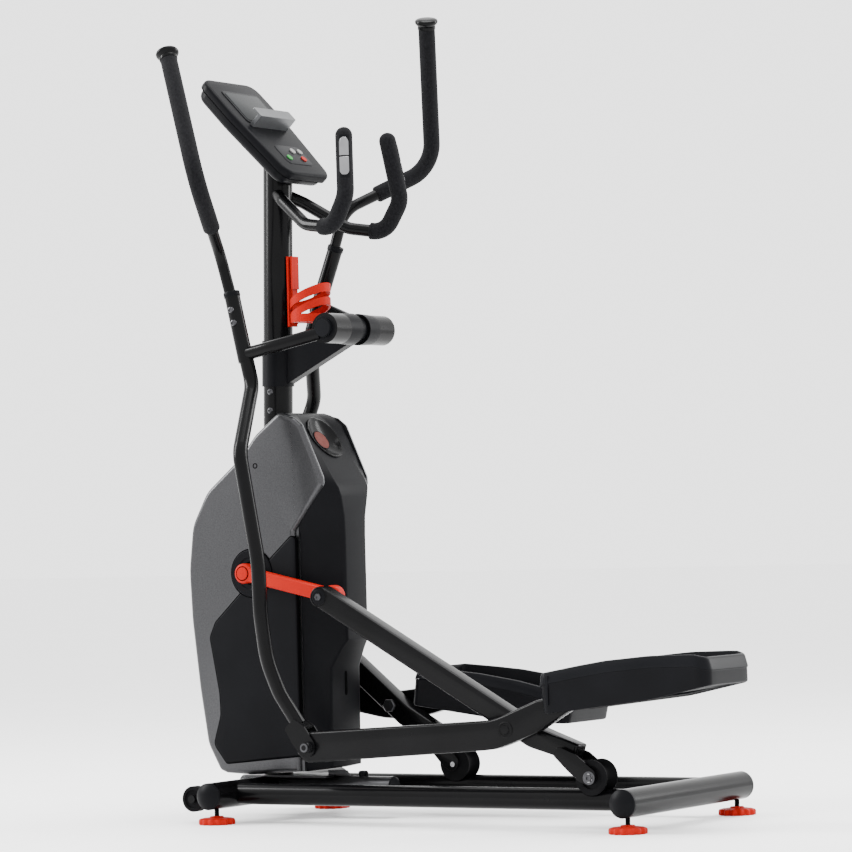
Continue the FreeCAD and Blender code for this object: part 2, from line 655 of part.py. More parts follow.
def belt_ring(radius, groove, wide, centre, y, bore):
    """A grooved pulley about an axle."""
    disc = cross_rod(radius + 3.0, centre, y - wide / 2, y + wide / 2)
    track = cross_rod(radius + 4.0, centre, y - groove / 2, y + groove / 2).cut(
        cross_rod(radius, centre, y - groove / 2, y + groove / 2))
    return disc.cut(track).cut(cross_rod(bore, centre, y - wide, y + wide))


def build_drive():
    """Crank shaft with its arms and pulley, belt, idler, flywheel and brake magnet."""
    axle = (0.0, size("axle_z"))
    reach = size("arm_out_y") - 4.0
    shaft = cylinder("CrankShaft", "$axle_r", "2 * ($arm_out_y - 4)", (0, -reach, axle[1]), (0, 1, 0))
    keep("crank_shaft", shaft)
    wide, radius = size("pulley_wide"), size("pulley_r")
    pulley = belt_ring(radius, 12.0, wide, axle, size("pulley_y"), size("axle_r"))
    for k in range(5):
        a = 2 * math.pi * k / 5 + 0.3
        pulley = pulley.cut(cross_rod(26.0, (70 * math.cos(a), axle[1] + 70 * math.sin(a)), -30, 30))
    keep_shape("drive_pulley", [pulley])

    for label, side in SIDES.items():
        crank_arm(label, side, axle)

    fly = (size("fly_x"), size("fly_z"))
    half = size("fly_wide") / 2.0
    rim, web = size("fly_r") - 16.0, 5.0
    profile = [(8.0, -half - 4), (20, -half - 4), (20, -half), (24, -half), (24, -web), (rim, -web), (rim, -half),
               (size("fly_r"), -half), (size("fly_r"), half), (rim, half), (rim, web), (24, web), (24, half), (8.0, half)]
    turned_body("flywheel", profile, FreeCAD.Placement(Vector(fly[0], size("fly_y"), fly[1]), FreeCAD.Rotation()))
    small = belt_ring(size("fly_pulley_r"), 12.0, wide, fly, size("pulley_y"), 7.0)
    pin = cross_rod(8.0, fly, size("fly_y") - half - 8, size("pulley_y") + 12)
    keep_shape("flywheel_shaft", [pin.fuse(small).removeSplitter()])

    shoe = cross_rod(size("fly_r") + 16, fly, size("fly_y") - 12, size("fly_y") + 12).cut(
        cross_rod(size("fly_r") + 2.5, fly, -90, 0))
    shoe = shoe.common(Part.makeBox(160, 60, 70, Vector(fly[0] - 130, -80, fly[1] - 35)))
    shoe = max(shoe.Solids, key=lambda s: s.Volume)
    keep_shape("brake_magnet", [shoe.cut(mast_clearance())])

    idler = (size("idler_x"), size("idler_z"))
    keep_shape("idler_wheel", [belt_ring(size("idler_r"), 12.0, wide, idler, size("pulley_y"), 5.05)])
    pin = cross_rod(5.0, idler, 24.0, size("pulley_y") + 10.0)
    arm = prism([(10, idler[1] - 8, 0), (idler[0] + 8, idler[1] - 8, 7), (idler[0] + 8, idler[1] + 8, 7),
                 (10, idler[1] + 8, 0)], 20.0, 28.0)
    arm = arm.cut(rod(size("mast_r"), mast_point(200.0), mast_point(450.0)))
    keep_shape("idler_bracket", [pin.fuse(arm).removeSplitter()])

    loop_big, loop_small = radius + 0.4, size("fly_pulley_r") + 0.4
    keep_shape("drive_belt", [belt_loop(axle, loop_big, fly, loop_small, 2.2, 5.0)])


def crank_arm(label, side, axle):
    """A forged arm: a flat bar between the axle boss and the pin eye."""
    drop = math.radians(size("crank_drop"))
    angle = -drop if side < 0 else math.pi - drop
    tall, length = size("crank_tall") / 2.0, size("crank_r")
    body = new_body(label + "_crank_arm")
    bar = rounded([(0, -tall, 0), (length, -tall, 0), (length, tall, 0), (0, tall, 0)])
    for name, curves in (
        ("Bar", bar),
        ("Boss", [circle_curve(0, 0, size("crank_boss_r"))]),
        ("Eye", [circle_curve(length, 0, size("crank_eye_r"))]),
    ):
        add_pad(body, add_sketch(body, label + name, "XZ_Plane", curves), "$arm_out_y - $arm_in_y", True)
    bore = add_sketch(body, label + "Bore", "XZ_Plane", [circle_curve(0, 0, size("axle_r"))])
    add_pocket(body, bore, "$arm_out_y - $arm_in_y")
    place = link_placement(axle, angle)
    place.Base.y = size("arm_in_y") if side > 0 else -size("arm_out_y")
    body.Placement = place


def belt_loop(top, top_r, low, low_r, thick, half):
    """An open belt round two pulleys: the outer hull of the circles less the inner one."""
    def hull(extra):
        span = math.dist(top, low)
        base = math.atan2(low[1] - top[1], low[0] - top[0])
        swing = math.acos((top_r - low_r) / span)
        big, small = top_r + extra, low_r + extra

        def on(centre, radius, angle):
            return Vector(centre[0] + radius * math.cos(angle), -half, centre[1] + radius * math.sin(angle))
        first, last = base - swing, base + swing
        edges = [
            Part.Arc(on(low, small, first), on(low, small, base), on(low, small, last)).toShape(),
            Part.LineSegment(on(low, small, last), on(top, big, last)).toShape(),
            Part.Arc(on(top, big, last), on(top, big, base + math.pi), on(top, big, first)).toShape(),
            Part.LineSegment(on(top, big, first), on(low, small, first)).toShape(),
        ]
        return Part.Face(Part.Wire(edges)).extrude(Vector(0, 2 * half, 0))
    belt = hull(thick).cut(hull(0.0))
    belt.translate(Vector(0, size("pulley_y"), 0))
    return belt


# --- moving side linkage ----------------------------------------------------------------------

def roller_leg(side, link):
    """The leg from the crank pin down to the fork over the rail wheel."""
    low, high = size("leg_in_y"), size("leg_out_y")
    tall, length = size("leg_tall") / 2.0, size("leg_len")
    rail_y, fork_high = size("rail_y"), size("fork_out_y")
    knee, end = size("pivot_along") * length + 36.0, length - 52.0
    rise = 18.0
    run = math.hypot(end - knee, rise)
    dx, dz = (end - knee) / run, rise / run
    beam = prism([(0, -tall, 0), (knee + 4, -tall, 60), (end + dz * 14, rise - 15 * dx, 4),
                  (end - dz * 20, rise + 20 * dx, 4), (knee - 4, tall, 60), (0, tall, 0)], low, high)
    hollow = prism([(30, 3 - tall, 0), (knee, 3 - tall, 60), (end - 50, rise - 27, 0), (end - 50, rise + 2, 0),
                    (knee - 8, tall - 3, 60), (30, tall - 3, 0)], low + 3, high - 3)
    beam = beam.cut(hollow)
    eye = cross_rod(tall, (0, 0), low, high)
    pin = cross_rod(9.0, (0, 0), size("arm_out_y") + 0.5, low).fuse(
        cross_rod(12.0, (0, 0), high, size("pin_head_y")))
    nut_spot = (size("pivot_along") * length, size("pivot_off"))
    nut = cross_rod(14.0, nut_spot, 123.6, low)
    bush = cross_rod(16.0, nut_spot, high, 172.0)
    wide = fork_high - rail_y
    cheek = [(end - 34, -2, 4), (end + 6, -12, 6), (length - 14, -17, 10), (length + 8, -13, 10), (length + 13, 4, 12),
             (length + 4, 17, 10), (end + 4, rise + 6, 10), (end - 34, rise, 4)]
    plates = [prism(cheek, rail_y - wide, rail_y - wide + 4.0), prism(cheek, fork_high - 4.0, fork_high)]
    bridge = prism([(end - 34, -1, 0), (end - 8, -1, 0), (end - 8, rise, 0), (end - 34, rise, 0)],
                   rail_y - wide, fork_high)
    bore = cross_rod(size("wheel_axle_r") + 0.05, (length, 0), 100, 200)
    solid = beam.multiFuse([eye, pin, nut, bush, bridge] + plates).cut(bore).removeSplitter()
    solid = solid if side > 0 else mirrored(solid)
    solid.Placement = link_placement(link["pin"], link["leg_angle"])
    return solid


def rail_wheel(label, side, link):
    """A wheel with a hollow tread that fits over the round rail."""
    half, hub_r, wheel_r = size("wheel_wide") / 2.0, size("wheel_axle_r") + 0.05, size("wheel_r")
    depth = link["wheel"][1] - size("base_z")
    tread_r = size("rail_r") + size("wheel_rail_gap")
    lip = math.sqrt(tread_r ** 2 - (depth - wheel_r) ** 2)
    profile = [(hub_r, -half), (wheel_r, -half), (wheel_r, -lip), (wheel_r, lip), (wheel_r, half), (22.0, half),
               (22.0, half - 4.0), (12.0, half - 4.0), (12.0, half), (hub_r, half)]
    place = side_placement(link["wheel"][0], size("rail_y"), link["wheel"][1], side)
    turned_body(label + "_rail_wheel", profile, place, groove=(2, (depth - tread_r, 0.0)))


def foot_leg(side, link):
    """The beam from the swing arm's toe past the leg pivot and up under the pedal."""
    low, high = size("foot_in_y"), size("foot_out_y")
    tall, span = size("foot_tall") / 2.0, size("foot_link")
    beam = prism([(-span, -tall, 0), (-30, -tall - 6, 160), (60, -12, 120), (150, 14, 60), (330, 32, 0), (330, 52, 0),
                  (130, 56, 0), (70, 50, 60), (-30, tall - 10, 160), (-span, tall - 2, 0)], low, high)
    beam = beam.cut(prism([(45 - span, 3 - tall, 0), (-30, -tall - 3, 160), (60, -9, 120), (140, 14, 0),
                           (140, 52, 0), (70, 46, 60), (-30, tall - 13, 160), (45 - span, tall - 5, 0)],
                          low + 3, high - 3))
    eye = cross_rod(tall, (-span, 0), low, high)
    bore = cross_rod(6.05, (-span, 0), low - 1, high + 1)
    head = cross_rod(15.0, (0, 0), high, size("foot_head_y"))
    solid = beam.multiFuse([eye, head]).cut(bore).removeSplitter()
    solid = solid if side > 0 else mirrored(solid)
    solid.Placement = link_placement(link["pivot"], link["foot_angle"])
    return solid


PEDAL_SIDE = [(92, 68, 6), (104, 22, 10), (320, 30, 60), (452, 47, 4), (442, 92, 6), (424, 108, 8), (330, 113, 200),
              (229, 112, 160), (106, 100, 6)]


def pedal(side, link):
    """A deep foot tray with a raised rim, open at the top, on the end of the foot leg."""
    low, high, wall = size("pedal_in_y"), size("pedal_out_y"), size("pedal_wall")
    block = prism(PEDAL_SIDE, low, high)
    well = prism([(116, 78, 20), (428, 88, 20), (428, 150, 0), (116, 150, 0)], low + 14, high - 14)
    belly = prism([(112, 10, 0), (440, 30, 0), (424, 80, 20), (126, 70, 20)], low + wall, high - wall)
    shell = block.cut(well).cut(belly)
    ribs = [Part.makeBox(3, high - low - 2 * wall - 1, 20, Vector(x, low + wall + 0.5, 58)) for x in (200, 290)]
    treads = [Part.makeBox(270, 4, 2.5, Vector(136, y, 78 + 2.6)) for y in range(int(low) + 26, int(high) - 24, 12)]
    leg_slot = prism([(60, -20, 0), (345, 10, 0), (345, 56.4, 0), (125, 60.4, 0), (60, 58.4, 0)],
                     size("foot_in_y") - 0.4, size("foot_out_y") + 0.4)
    solid = shell.multiFuse(ribs).common(prism(PEDAL_SIDE, low, high)).cut(leg_slot)
    tilt = math.atan2(10, 312)
    for tread in treads:
        tread.rotate(Vector(116, 0, 78), Vector(0, -1, 0), math.degrees(tilt))
    solid = solid.multiFuse(treads).removeSplitter()
    solid = max(solid.Solids, key=lambda s: s.Volume)
    solid = solid if side > 0 else mirrored(solid)
    solid.Placement = link_placement(link["pivot"], link["foot_angle"])
    return solid


ARM_DOWN = [(-157, 134.5, -107), (-130, 226, -243), (-112, 226, -330), (-93, 226, -457), (-92, 224, -560),
            (-84, 218, -650), (-64, 206, -715), (-30, 193, -776)]
ARM_BENDS = [60, 60, 300, 400, 250, 120]
ARM_UP = [(-190.3, 134.5, 28), (-224, 135.5, 152), (-173.5, 289, 294), (-291.5, 203.4, 551)]


def swing_arm(side, link):
    """Hub barrel, forward link tube, bent lower tube and the clevis at its toe."""
    y, r = size("arm_y"), size("arm_r")
    top = (-200.5, y, 77)
    spots = [top] + ARM_DOWN[:2] + ARM_DOWN[3:]
    tube = bent_tube(spots, ARM_BENDS, r, size("tube_wall"))
    sleeve = rod(size("sleeve_r"), (-170, y, -60), top)
    socket = rod(size("upper_r") + 0.02, ARM_UP[0], ARM_UP[1])
    ring = [(-172, y, -45), (-112, y, -34), (-16, 104, -10)]
    link_tube = bent_tube(ring, [90], size("link_r"), size("tube_wall"))
    barrel = cross_rod(size("hub_r"), (0, 0), 13.0, size("hub_end_y"))
    hub = cross_rod(30.0, (0, 0), 13.0, 108.0)
    body = tube.multiFuse([sleeve, link_tube, barrel, hub])
    body = body.cut(cross_rod(size("hub_axle_r") + 0.05, (0, 0), -10, size("hub_end_y") - 3.5)).cut(socket)
    toe = (0.0, -size("arm_len"))
    inner, outer, thick = size("cheek_in_y"), size("cheek_out_y"), size("cheek_thick")
    plate = [(-52, 36, 6), (-34, 6, 16), (-14, -18, 14), (14, -18, 16), (18, 6, 14), (-6, 40, 6), (-30, 56, 4)]
    plate = [(x + toe[0], z + toe[1], rr) for x, z, rr in plate]
    cheeks = [prism(plate, inner, inner + thick), prism(plate, outer - thick, outer)]
    cap = prism([(-50 + toe[0], 37 + toe[1], 0), (-46 + toe[0], 31 + toe[1], 0), (-8 + toe[0], 36 + toe[1], 0),
                 (-7 + toe[0], 40 + toe[1], 0), (-30 + toe[0], 55 + toe[1], 0)], inner, outer)
    bolt = cross_rod(6.0, toe, inner, outer).fuse(cross_rod(11.0, toe, outer, size("arm_bolt_y")))
    leg_room = cross_rod(size("foot_tall") / 2.0 + 0.8, toe, size("foot_in_y") - 0.4, size("foot_out_y") + 0.4)
    body = body.cut(cross_rod(60, toe, inner + thick, outer - thick).common(leg_room))
    body = body.multiFuse(cheeks + [cap.cut(leg_room), bolt]).removeSplitter()
    body = body if side > 0 else mirrored(body)
    body.Placement = link_placement(link["hub"], link["arm_angle"])
    return body


def build_linkage():
    """Both sides: wheel axle, rail wheel, roller leg, foot leg, pedal and swing arm with its grip."""
    for label, side in SIDES.items():
        link = linkage(side)
        rail_y, out = size("rail_y"), size("fork_out_y")
        centre = link["wheel"]
        inner = 2.0 * rail_y - out
        start, head_start = (inner, out + 0.1) if side > 0 else (-out - 0.1, -out - 1.9)
        axle = cylinder(label + "WheelAxle", "$wheel_axle_r", "2 * ($fork_out_y - $rail_y) + 0.1",
                        (centre[0], start, centre[1]), (0, 1, 0))
        head = cylinder(label + "WheelAxleHead", "8", "1.8", (centre[0], head_start, centre[1]), (0, 1, 0))
        keep(label + "_wheel_axle", fuse(label + "AxleWithHead", [axle, head]))
        rail_wheel(label, side, link)
        keep_shape(label + "_roller_leg", [roller_leg(side, link)])
        keep_shape(label + "_foot_leg", [foot_leg(side, link)])
        keep_shape(label + "_pedal", [pedal(side, link)])
        keep_shape(label + "_swing_arm", [swing_arm(side, link)])
        build_upper_bar(label, side, link)


def build_upper_bar(label, side, link):
    """The slip-in upper handlebar, its foam sleeve and its end knob."""
    bends = [60.0, 70.0]
    bar = bent_tube(ARM_UP, bends, size("upper_r"))
    start = tuple(Vector(*ARM_UP[1]) + (Vector(*ARM_UP[2]) - Vector(*ARM_UP[1])) * 0.36)
    foam = bent_tube([start, ARM_UP[2], ARM_UP[3]], [70.0], size("grip_r"))
    foam = foam.cut(bent_tube(ARM_UP, bends, size("upper_r") + 0.01))
    tip, before = Vector(*ARM_UP[3]), Vector(*ARM_UP[2])
    out = (tip - before).normalize()
    knob = Part.makeCone(size("grip_r") + 1.0, size("knob_r"), 7.0, tip + out * 0.2, out)
    knob = knob.fuse(Part.makeCone(size("knob_r"), size("knob_r") - 8.0, 9.0, tip + out * 7.2, out))
    turn = link_placement(link["hub"], link["arm_angle"])
    for name, solids in (("_upper_handlebar", [bar]), ("_hand_grip", [foam, knob.removeSplitter()])):
        moved = []
        for solid in solids:
            solid = solid if side > 0 else mirrored(solid)
            solid.Placement = turn
            moved.append(solid)
        keep_shape(label + name, moved)


# --- console ----------------------------------------------------------------------------------

def console_point(along, across, out):
    """A point of the console frame, in the machine."""
    tilt = math.radians(size("console_tilt"))
    x = size("console_x") - along * math.cos(tilt) + out * math.sin(tilt)
    z = size("console_z") + along * math.sin(tilt) + out * math.cos(tilt)
    return Vector(x, across, z)


def console_block(wide, tall, corner, low, high, shift=0.0):
    """A round-cornered block of the console, low to high out of its face."""
    half, rise = wide / 2.0, tall / 2.0
    outline = [(-half, -rise + shift, corner), (half, -rise + shift, corner), (half, rise + shift, corner),
               (-half, rise + shift, corner)]
    face = Part.Face(Part.Wire([c.toShape() for c in rounded(outline)]))
    block = face.extrude(Vector(0, 0, high - low))
    block.Placement = console_frame().multiply(FreeCAD.Placement(Vector(0, 0, low), FreeCAD.Rotation()))
    return block


def console_frame():
    """The console's own frame: y up its face, z out of its face."""
    tilt = math.radians(size("console_tilt"))
    up = Vector(-math.cos(tilt), 0, math.sin(tilt))
    out = Vector(math.sin(tilt), 0, math.cos(tilt))
    side = up.cross(out)
    place = FreeCAD.Placement(FreeCAD.Matrix(
        side.x, up.x, out.x, 0, side.y, up.y, out.y, 0, side.z, up.z, out.z, 0))
    place.Base = Vector(size("console_x"), 0, size("console_z"))
    return place


KEYS = [("start_key", -88.0, -26.0), ("stop_key", -88.0, 26.0), ("up_key", -66.0, 8.0), ("down_key", -66.0, 34.0)]


def build_console():
    """Console shells, display window, shelf for a phone or tablet and its keys."""
    wide, tall = size("console_wide"), size("console_tall")
    front, back = size("console_front"), size("console_back")
    rise = size("console_rise")
    face = console_block(wide, tall, 22, -front, 0, shift=rise)
    face = face.cut(console_block(wide - 6, tall - 6, 20, -front - 1, -4, shift=rise))
    face = face.cut(console_block(122, 86, 8, -5, 1, shift=62))
    for name, along, across in KEYS:
        spot = console_point(along, across, -6)
        out = console_point(0, 0, 1) - console_point(0, 0, 0)
        face = face.cut(Part.makeCylinder(size("key_r") + 0.4, 10, spot, out))
    keep_shape("console_front_shell", [face])
    rear = console_block(wide - 10, tall - 14, 20, -front - back, -front - 0.1, shift=rise)
    rear = rear.cut(console_block(wide - 16, tall - 20, 18, -front - back + 3, -front + 1, shift=rise))
    rear = rear.cut(rod(size("mast_r") + 0.3, mast_point(1200), mast_point(1400)))
    keep_shape("console_rear_shell", [max(rear.Solids, key=lambda s: s.Volume)])
    glass = new_body("display")
    outline = rounded([(-60.5, 19.5, 7.5), (60.5, 19.5, 7.5), (60.5, 104.5, 7.5), (-60.5, 104.5, 7.5)])
    add_pad(glass, add_sketch(glass, "DisplayOutline", "XY_Plane", outline), "$display_thick")
    glass.Placement = console_frame().multiply(FreeCAD.Placement(Vector(0, 0, -4.6), FreeCAD.Rotation()))
    shelf = console_block(128, 10, 3, 0.1, 30, shift=6)
    lip = console_block(128, 26, 3, 26, 30, shift=14)
    keep_shape("media_shelf", [shelf.fuse(lip).removeSplitter()])
    out = console_point(0, 0, 1) - console_point(0, 0, 0)
    for name, along, across in KEYS:
        cap = cylinder(name + "Cap", "$key_r", "9.5", console_point(along, across, -7.0), out)
        stop = cylinder(name + "Stop", "$key_r + 2", "1.6", console_point(along, across, -8.4), out)
        keep(name, fuse(name + "Whole", [cap, stop]))


# --- checks and files -------------------------------------------------------------------------

def finish():
    """Moves the pieces to the footprint's origin, checks them and writes their files."""
    shift = Vector(size("axle_x"), 0, 0)
    for node in NODES.values():
        node.Placement = FreeCAD.Placement(shift, FreeCAD.Rotation()).multiply(node.Placement)
    DOC.recompute()
    for item in DOC.Objects:
        assert "Invalid" not in item.State and "Error" not in item.State, item.Label
    os.makedirs("parts", exist_ok=True)
    box = FreeCAD.BoundBox()
    for label, node in NODES.items():
        shape = node.Shape
        assert not shape.isNull() and shape.isValid() and shape.Solids, label
        shape.exportStep(os.path.join("parts", label + ".step"))
        box.add(shape.BoundBox)
    print(len(NODES), "nodes; box X %.1f..%.1f Y %.1f..%.1f Z %.1f..%.1f" % (
        box.XMin, box.XMax, box.YMin, box.YMax, box.ZMin, box.ZMax))


build_base()
build_feet()
build_mast()
build_pivot()
build_bar()
build_bottle_holder()
build_casing()
build_drive()
build_linkage()
build_console()
finish()
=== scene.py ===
import json
import math

import bmesh
import bpy
from mathutils import Matrix, Vector


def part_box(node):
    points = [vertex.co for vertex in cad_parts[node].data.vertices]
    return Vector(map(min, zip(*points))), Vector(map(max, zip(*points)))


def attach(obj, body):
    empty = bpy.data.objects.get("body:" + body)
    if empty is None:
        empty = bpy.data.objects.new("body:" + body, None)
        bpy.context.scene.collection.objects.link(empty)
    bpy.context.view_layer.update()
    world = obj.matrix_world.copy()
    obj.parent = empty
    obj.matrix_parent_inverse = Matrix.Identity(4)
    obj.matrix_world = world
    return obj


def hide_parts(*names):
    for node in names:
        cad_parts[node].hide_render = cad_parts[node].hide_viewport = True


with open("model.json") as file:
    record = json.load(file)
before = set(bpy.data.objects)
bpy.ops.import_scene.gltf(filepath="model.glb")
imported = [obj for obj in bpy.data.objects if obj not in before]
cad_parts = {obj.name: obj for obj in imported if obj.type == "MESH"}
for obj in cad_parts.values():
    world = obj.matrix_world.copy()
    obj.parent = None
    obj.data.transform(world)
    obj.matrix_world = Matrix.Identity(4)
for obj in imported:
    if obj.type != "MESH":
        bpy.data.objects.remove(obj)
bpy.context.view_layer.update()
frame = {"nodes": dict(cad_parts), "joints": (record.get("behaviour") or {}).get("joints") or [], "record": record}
SIDES = {"left": -1, "right": 1}
JOINTS = {j["name"]: j for j in frame["joints"]}
AXLE = Vector(JOINTS["crank_spin"]["pos_m"])


# --- materials ------------------------------------------------------------------------------------

def base_material(name, color, rough, metallic=0.0, coat=0.0, specular=0.5, sheen=0.0):
    """A principled material with its uniform values on the shader's own sockets."""
    mat = bpy.data.materials.new(name)
    mat.use_nodes = True
    shader = mat.node_tree.nodes["Principled BSDF"]
    shader.inputs["Base Color"].default_value = (*color, 1.0)
    shader.inputs["Roughness"].default_value = rough
    shader.inputs["Metallic"].default_value = metallic
    shader.inputs["Coat Weight"].default_value = coat
    shader.inputs["Coat Roughness"].default_value = 0.08
    shader.inputs["Specular IOR Level"].default_value = specular
    shader.inputs["Sheen Weight"].default_value = sheen
    shader.inputs["IOR"].default_value = 1.5 if metallic or specular > 0.4 else 1.2
    return mat


def grain(mat, scale, depth, spread=0.0, color=None, rough=None, detail=4.0, kind="NOISE", stretch=None):
    """Procedural bump, and if asked, colour and roughness variation, in object space."""
    tree = mat.node_tree
    shader = tree.nodes["Principled BSDF"]
    coord = tree.nodes.new("ShaderNodeTexCoord")
    source = coord.outputs["Object"]
    if stretch:
        mapping = tree.nodes.new("ShaderNodeMapping")
        mapping.inputs["Scale"].default_value = stretch
        tree.links.new(source, mapping.inputs["Vector"])
        source = mapping.outputs["Vector"]
    if kind == "VORONOI":
        noise = tree.nodes.new("ShaderNodeTexVoronoi")
        noise.inputs["Scale"].default_value = scale
        value = noise.outputs["Distance"]
    else:
        noise = tree.nodes.new("ShaderNodeTexNoise")
        noise.inputs["Scale"].default_value = scale
        noise.inputs["Detail"].default_value = detail
        value = noise.outputs["Fac"]
    tree.links.new(source, noise.inputs["Vector"])
    bump = tree.nodes.new("ShaderNodeBump")
    bump.inputs["Strength"].default_value = 0.6
    bump.inputs["Distance"].default_value = depth
    tree.links.new(value, bump.inputs["Height"])
    tree.links.new(bump.outputs["Normal"], shader.inputs["Normal"])
    if color is not None:
        wide = tree.nodes.new("ShaderNodeTexNoise")
        wide.inputs["Scale"].default_value = spread
        wide.inputs["Detail"].default_value = 6.0
        tree.links.new(source, wide.inputs["Vector"])
        ramp = tree.nodes.new("ShaderNodeValToRGB")
        low = tuple(shader.inputs["Base Color"].default_value)
        ramp.color_ramp.elements[0].position = 0.3
        ramp.color_ramp.elements[0].color = low
        ramp.color_ramp.elements[1].position = 0.7
        ramp.color_ramp.elements[1].color = (*color, 1.0)
        tree.links.new(wide.outputs["Fac"], ramp.inputs["Fac"])
        tree.links.new(ramp.outputs["Color"], shader.inputs["Base Color"])
    if rough is not None:
        span = tree.nodes.new("ShaderNodeMapRange")
        span.inputs["To Min"].default_value = rough[0]
        span.inputs["To Max"].default_value = rough[1]
        tree.links.new(value, span.inputs["Value"])
        tree.links.new(span.outputs["Result"], shader.inputs["Roughness"])
    return mat


MATS = {
    "gloss_black_tube": grain(base_material("gloss_black", (0.0012, 0.0012, 0.0014), 0.22, 0.0, 0.03, 0.3),
                              45, 0.000006, 9, (0.0023, 0.0023, 0.0026), (0.22, 0.28)),
    "grey_metallic": grain(base_material("grey_metallic", (0.03, 0.03, 0.032), 0.3, 0.85, 0.1, 0.2), 900,
                           0.00002, 420, (0.044, 0.044, 0.046), (0.27, 0.34)),
    "charcoal_plastic": grain(base_material("charcoal", (0.0022, 0.0023, 0.0029), 0.38, 0.0, 0.0, 0.2), 700,
                              0.00004, 14, (0.0031, 0.0032, 0.004), (0.34, 0.44)),
    "red_metal": grain(base_material("red_paint", (0.27, 0.006, 0.003), 0.36, 0.0, 0.05, 0.15), 500,
                       0.00004, 12, (0.3, 0.008, 0.004), (0.3, 0.42)),
    "red_plastic": grain(base_material("red_plastic", (0.27, 0.006, 0.003), 0.42, 0.0, 0.0, 0.15), 800,
                         0.00006, 12, (0.3, 0.008, 0.004), (0.38, 0.5)),
    "chrome": grain(base_material("chrome", (0.16, 0.16, 0.166), 0.16, 1.0), 60, 0.00001, 30,
                    (0.2, 0.2, 0.206)),
    "steel": grain(base_material("zinc_steel", (0.42, 0.42, 0.44), 0.33, 1.0), 300, 0.00003, 60,
                   (0.55, 0.55, 0.56), (0.26, 0.42), stretch=(1, 8, 1)),
    "cast_iron": grain(base_material("cast_iron", (0.05, 0.05, 0.053), 0.55, 0.8), 500, 0.0002, 30,
                       (0.08, 0.08, 0.083), (0.45, 0.7)),
    "foam": grain(base_material("grip_foam", (0.004, 0.004, 0.0046), 0.8, 0.0, 0.0, 0.12, 0.03), 1100,
                  0.0002, 220, (0.008, 0.008, 0.009), (0.72, 0.9), kind="VORONOI"),
    "roller_rubber": grain(base_material("roller", (0.003, 0.003, 0.0034), 0.5, 0.0, 0.0, 0.1), 700, 0.0001,
                           40, (0.006, 0.006, 0.0065), (0.45, 0.65)),
    "display_glass": grain(base_material("display_window", (0.0035, 0.0045, 0.005), 0.14, 0.0, 0.05, 0.15),
                           4, 0.00002, 5, (0.0045, 0.006, 0.0065)),
    "white_key": grain(base_material("white_key", (0.16, 0.16, 0.155), 0.4, 0.0, 0.0, 0.2), 900, 0.00005,
                       30, (0.19, 0.19, 0.185)),
    "green_key": grain(base_material("green_key", (0.02, 0.16, 0.03), 0.4, 0.0, 0.0, 0.2), 900, 0.00005, 30,
                       (0.03, 0.19, 0.045)),
    "red_key": grain(base_material("red_key", (0.22, 0.008, 0.005), 0.4, 0.0, 0.0, 0.2), 900, 0.00005, 30,
                     (0.26, 0.012, 0.008)),
    "dark_seam": grain(base_material("seam", (0.001, 0.001, 0.0012), 0.7, 0.0, 0.0, 0.02), 900, 0.00005, 30,
                       (0.0015, 0.0015, 0.0017)),
    "textured_tread": grain(base_material("tread", (0.003, 0.003, 0.0035), 0.7, 0.0, 0.0, 0.06), 900,
                            0.0004, 40, (0.012, 0.012, 0.013), (0.6, 0.85), kind="VORONOI"),
    # lighter charcoal; on the pedal rim's upper band and front rib it is painted highlight
    "light_charcoal": grain(base_material("light_charcoal", (0.0034, 0.0036, 0.0044), 0.34, 0.0, 0.0, 0.2),
                            700, 0.00004, 14, (0.0044, 0.0046, 0.0056), (0.3, 0.4)),
    "dark_bolt": grain(base_material("dark_bolt", (0.035, 0.035, 0.038), 0.3, 0.9), 300, 0.00002, 60,
                       (0.05, 0.05, 0.053), (0.26, 0.38)),
    # lighter silver plastic: the media shelf's own colour, and on the casing bead a painted rim highlight
    "silver_and_rim_highlight": grain(base_material("silver_and_rim_highlight", (0.05, 0.052, 0.055), 0.33, 0.5), 600, 0.00003,
                            40, (0.066, 0.068, 0.071), (0.3, 0.4)),
    "badge_red": grain(base_material("badge_red", (0.085, 0.024, 0.02), 0.4, 0.0, 0.0, 0.15), 600, 0.00003,
                       60, (0.11, 0.036, 0.03), (0.34, 0.46)),
}


def dress_cad():
    """Every CAD node takes the material of its record slot, or its own darker or lighter one."""
    slots = {part["node"]: part["material_slot"] for part in frame["record"]["subparts"]}
    own = {"frame_bolts": "dark_bolt", "media_shelf": "silver_and_rim_highlight"}
    for name, obj in frame["nodes"].items():
        for place in obj.material_slots:
            place.material = MATS[own.get(name, slots[name])]


# --- mesh helpers ---------------------------------------------------------------------------------

def add_object(name, data, slot_name, body, material=None):
    obj = bpy.data.objects.new(name, data)
    bpy.context.scene.collection.objects.link(obj)
    data.materials.append(MATS[material or slot_name])
    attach(obj, body)
    return obj


def mesh_object(name, verts, faces, slot_name, body, material=None, crease=35.0):
    mesh = bpy.data.meshes.new(name)
    mesh.from_pydata([tuple(v) for v in verts], [], faces)
    work = bmesh.new()
    work.from_mesh(mesh)
    bmesh.ops.remove_doubles(work, verts=work.verts, dist=1e-6)
    bmesh.ops.recalc_face_normals(work, faces=work.faces)
    work.to_mesh(mesh)
    work.free()
    for poly in mesh.polygons:
        poly.use_smooth = True
    mesh.set_sharp_from_angle(angle=math.radians(crease))
    return add_object(name, mesh, slot_name, body, material)


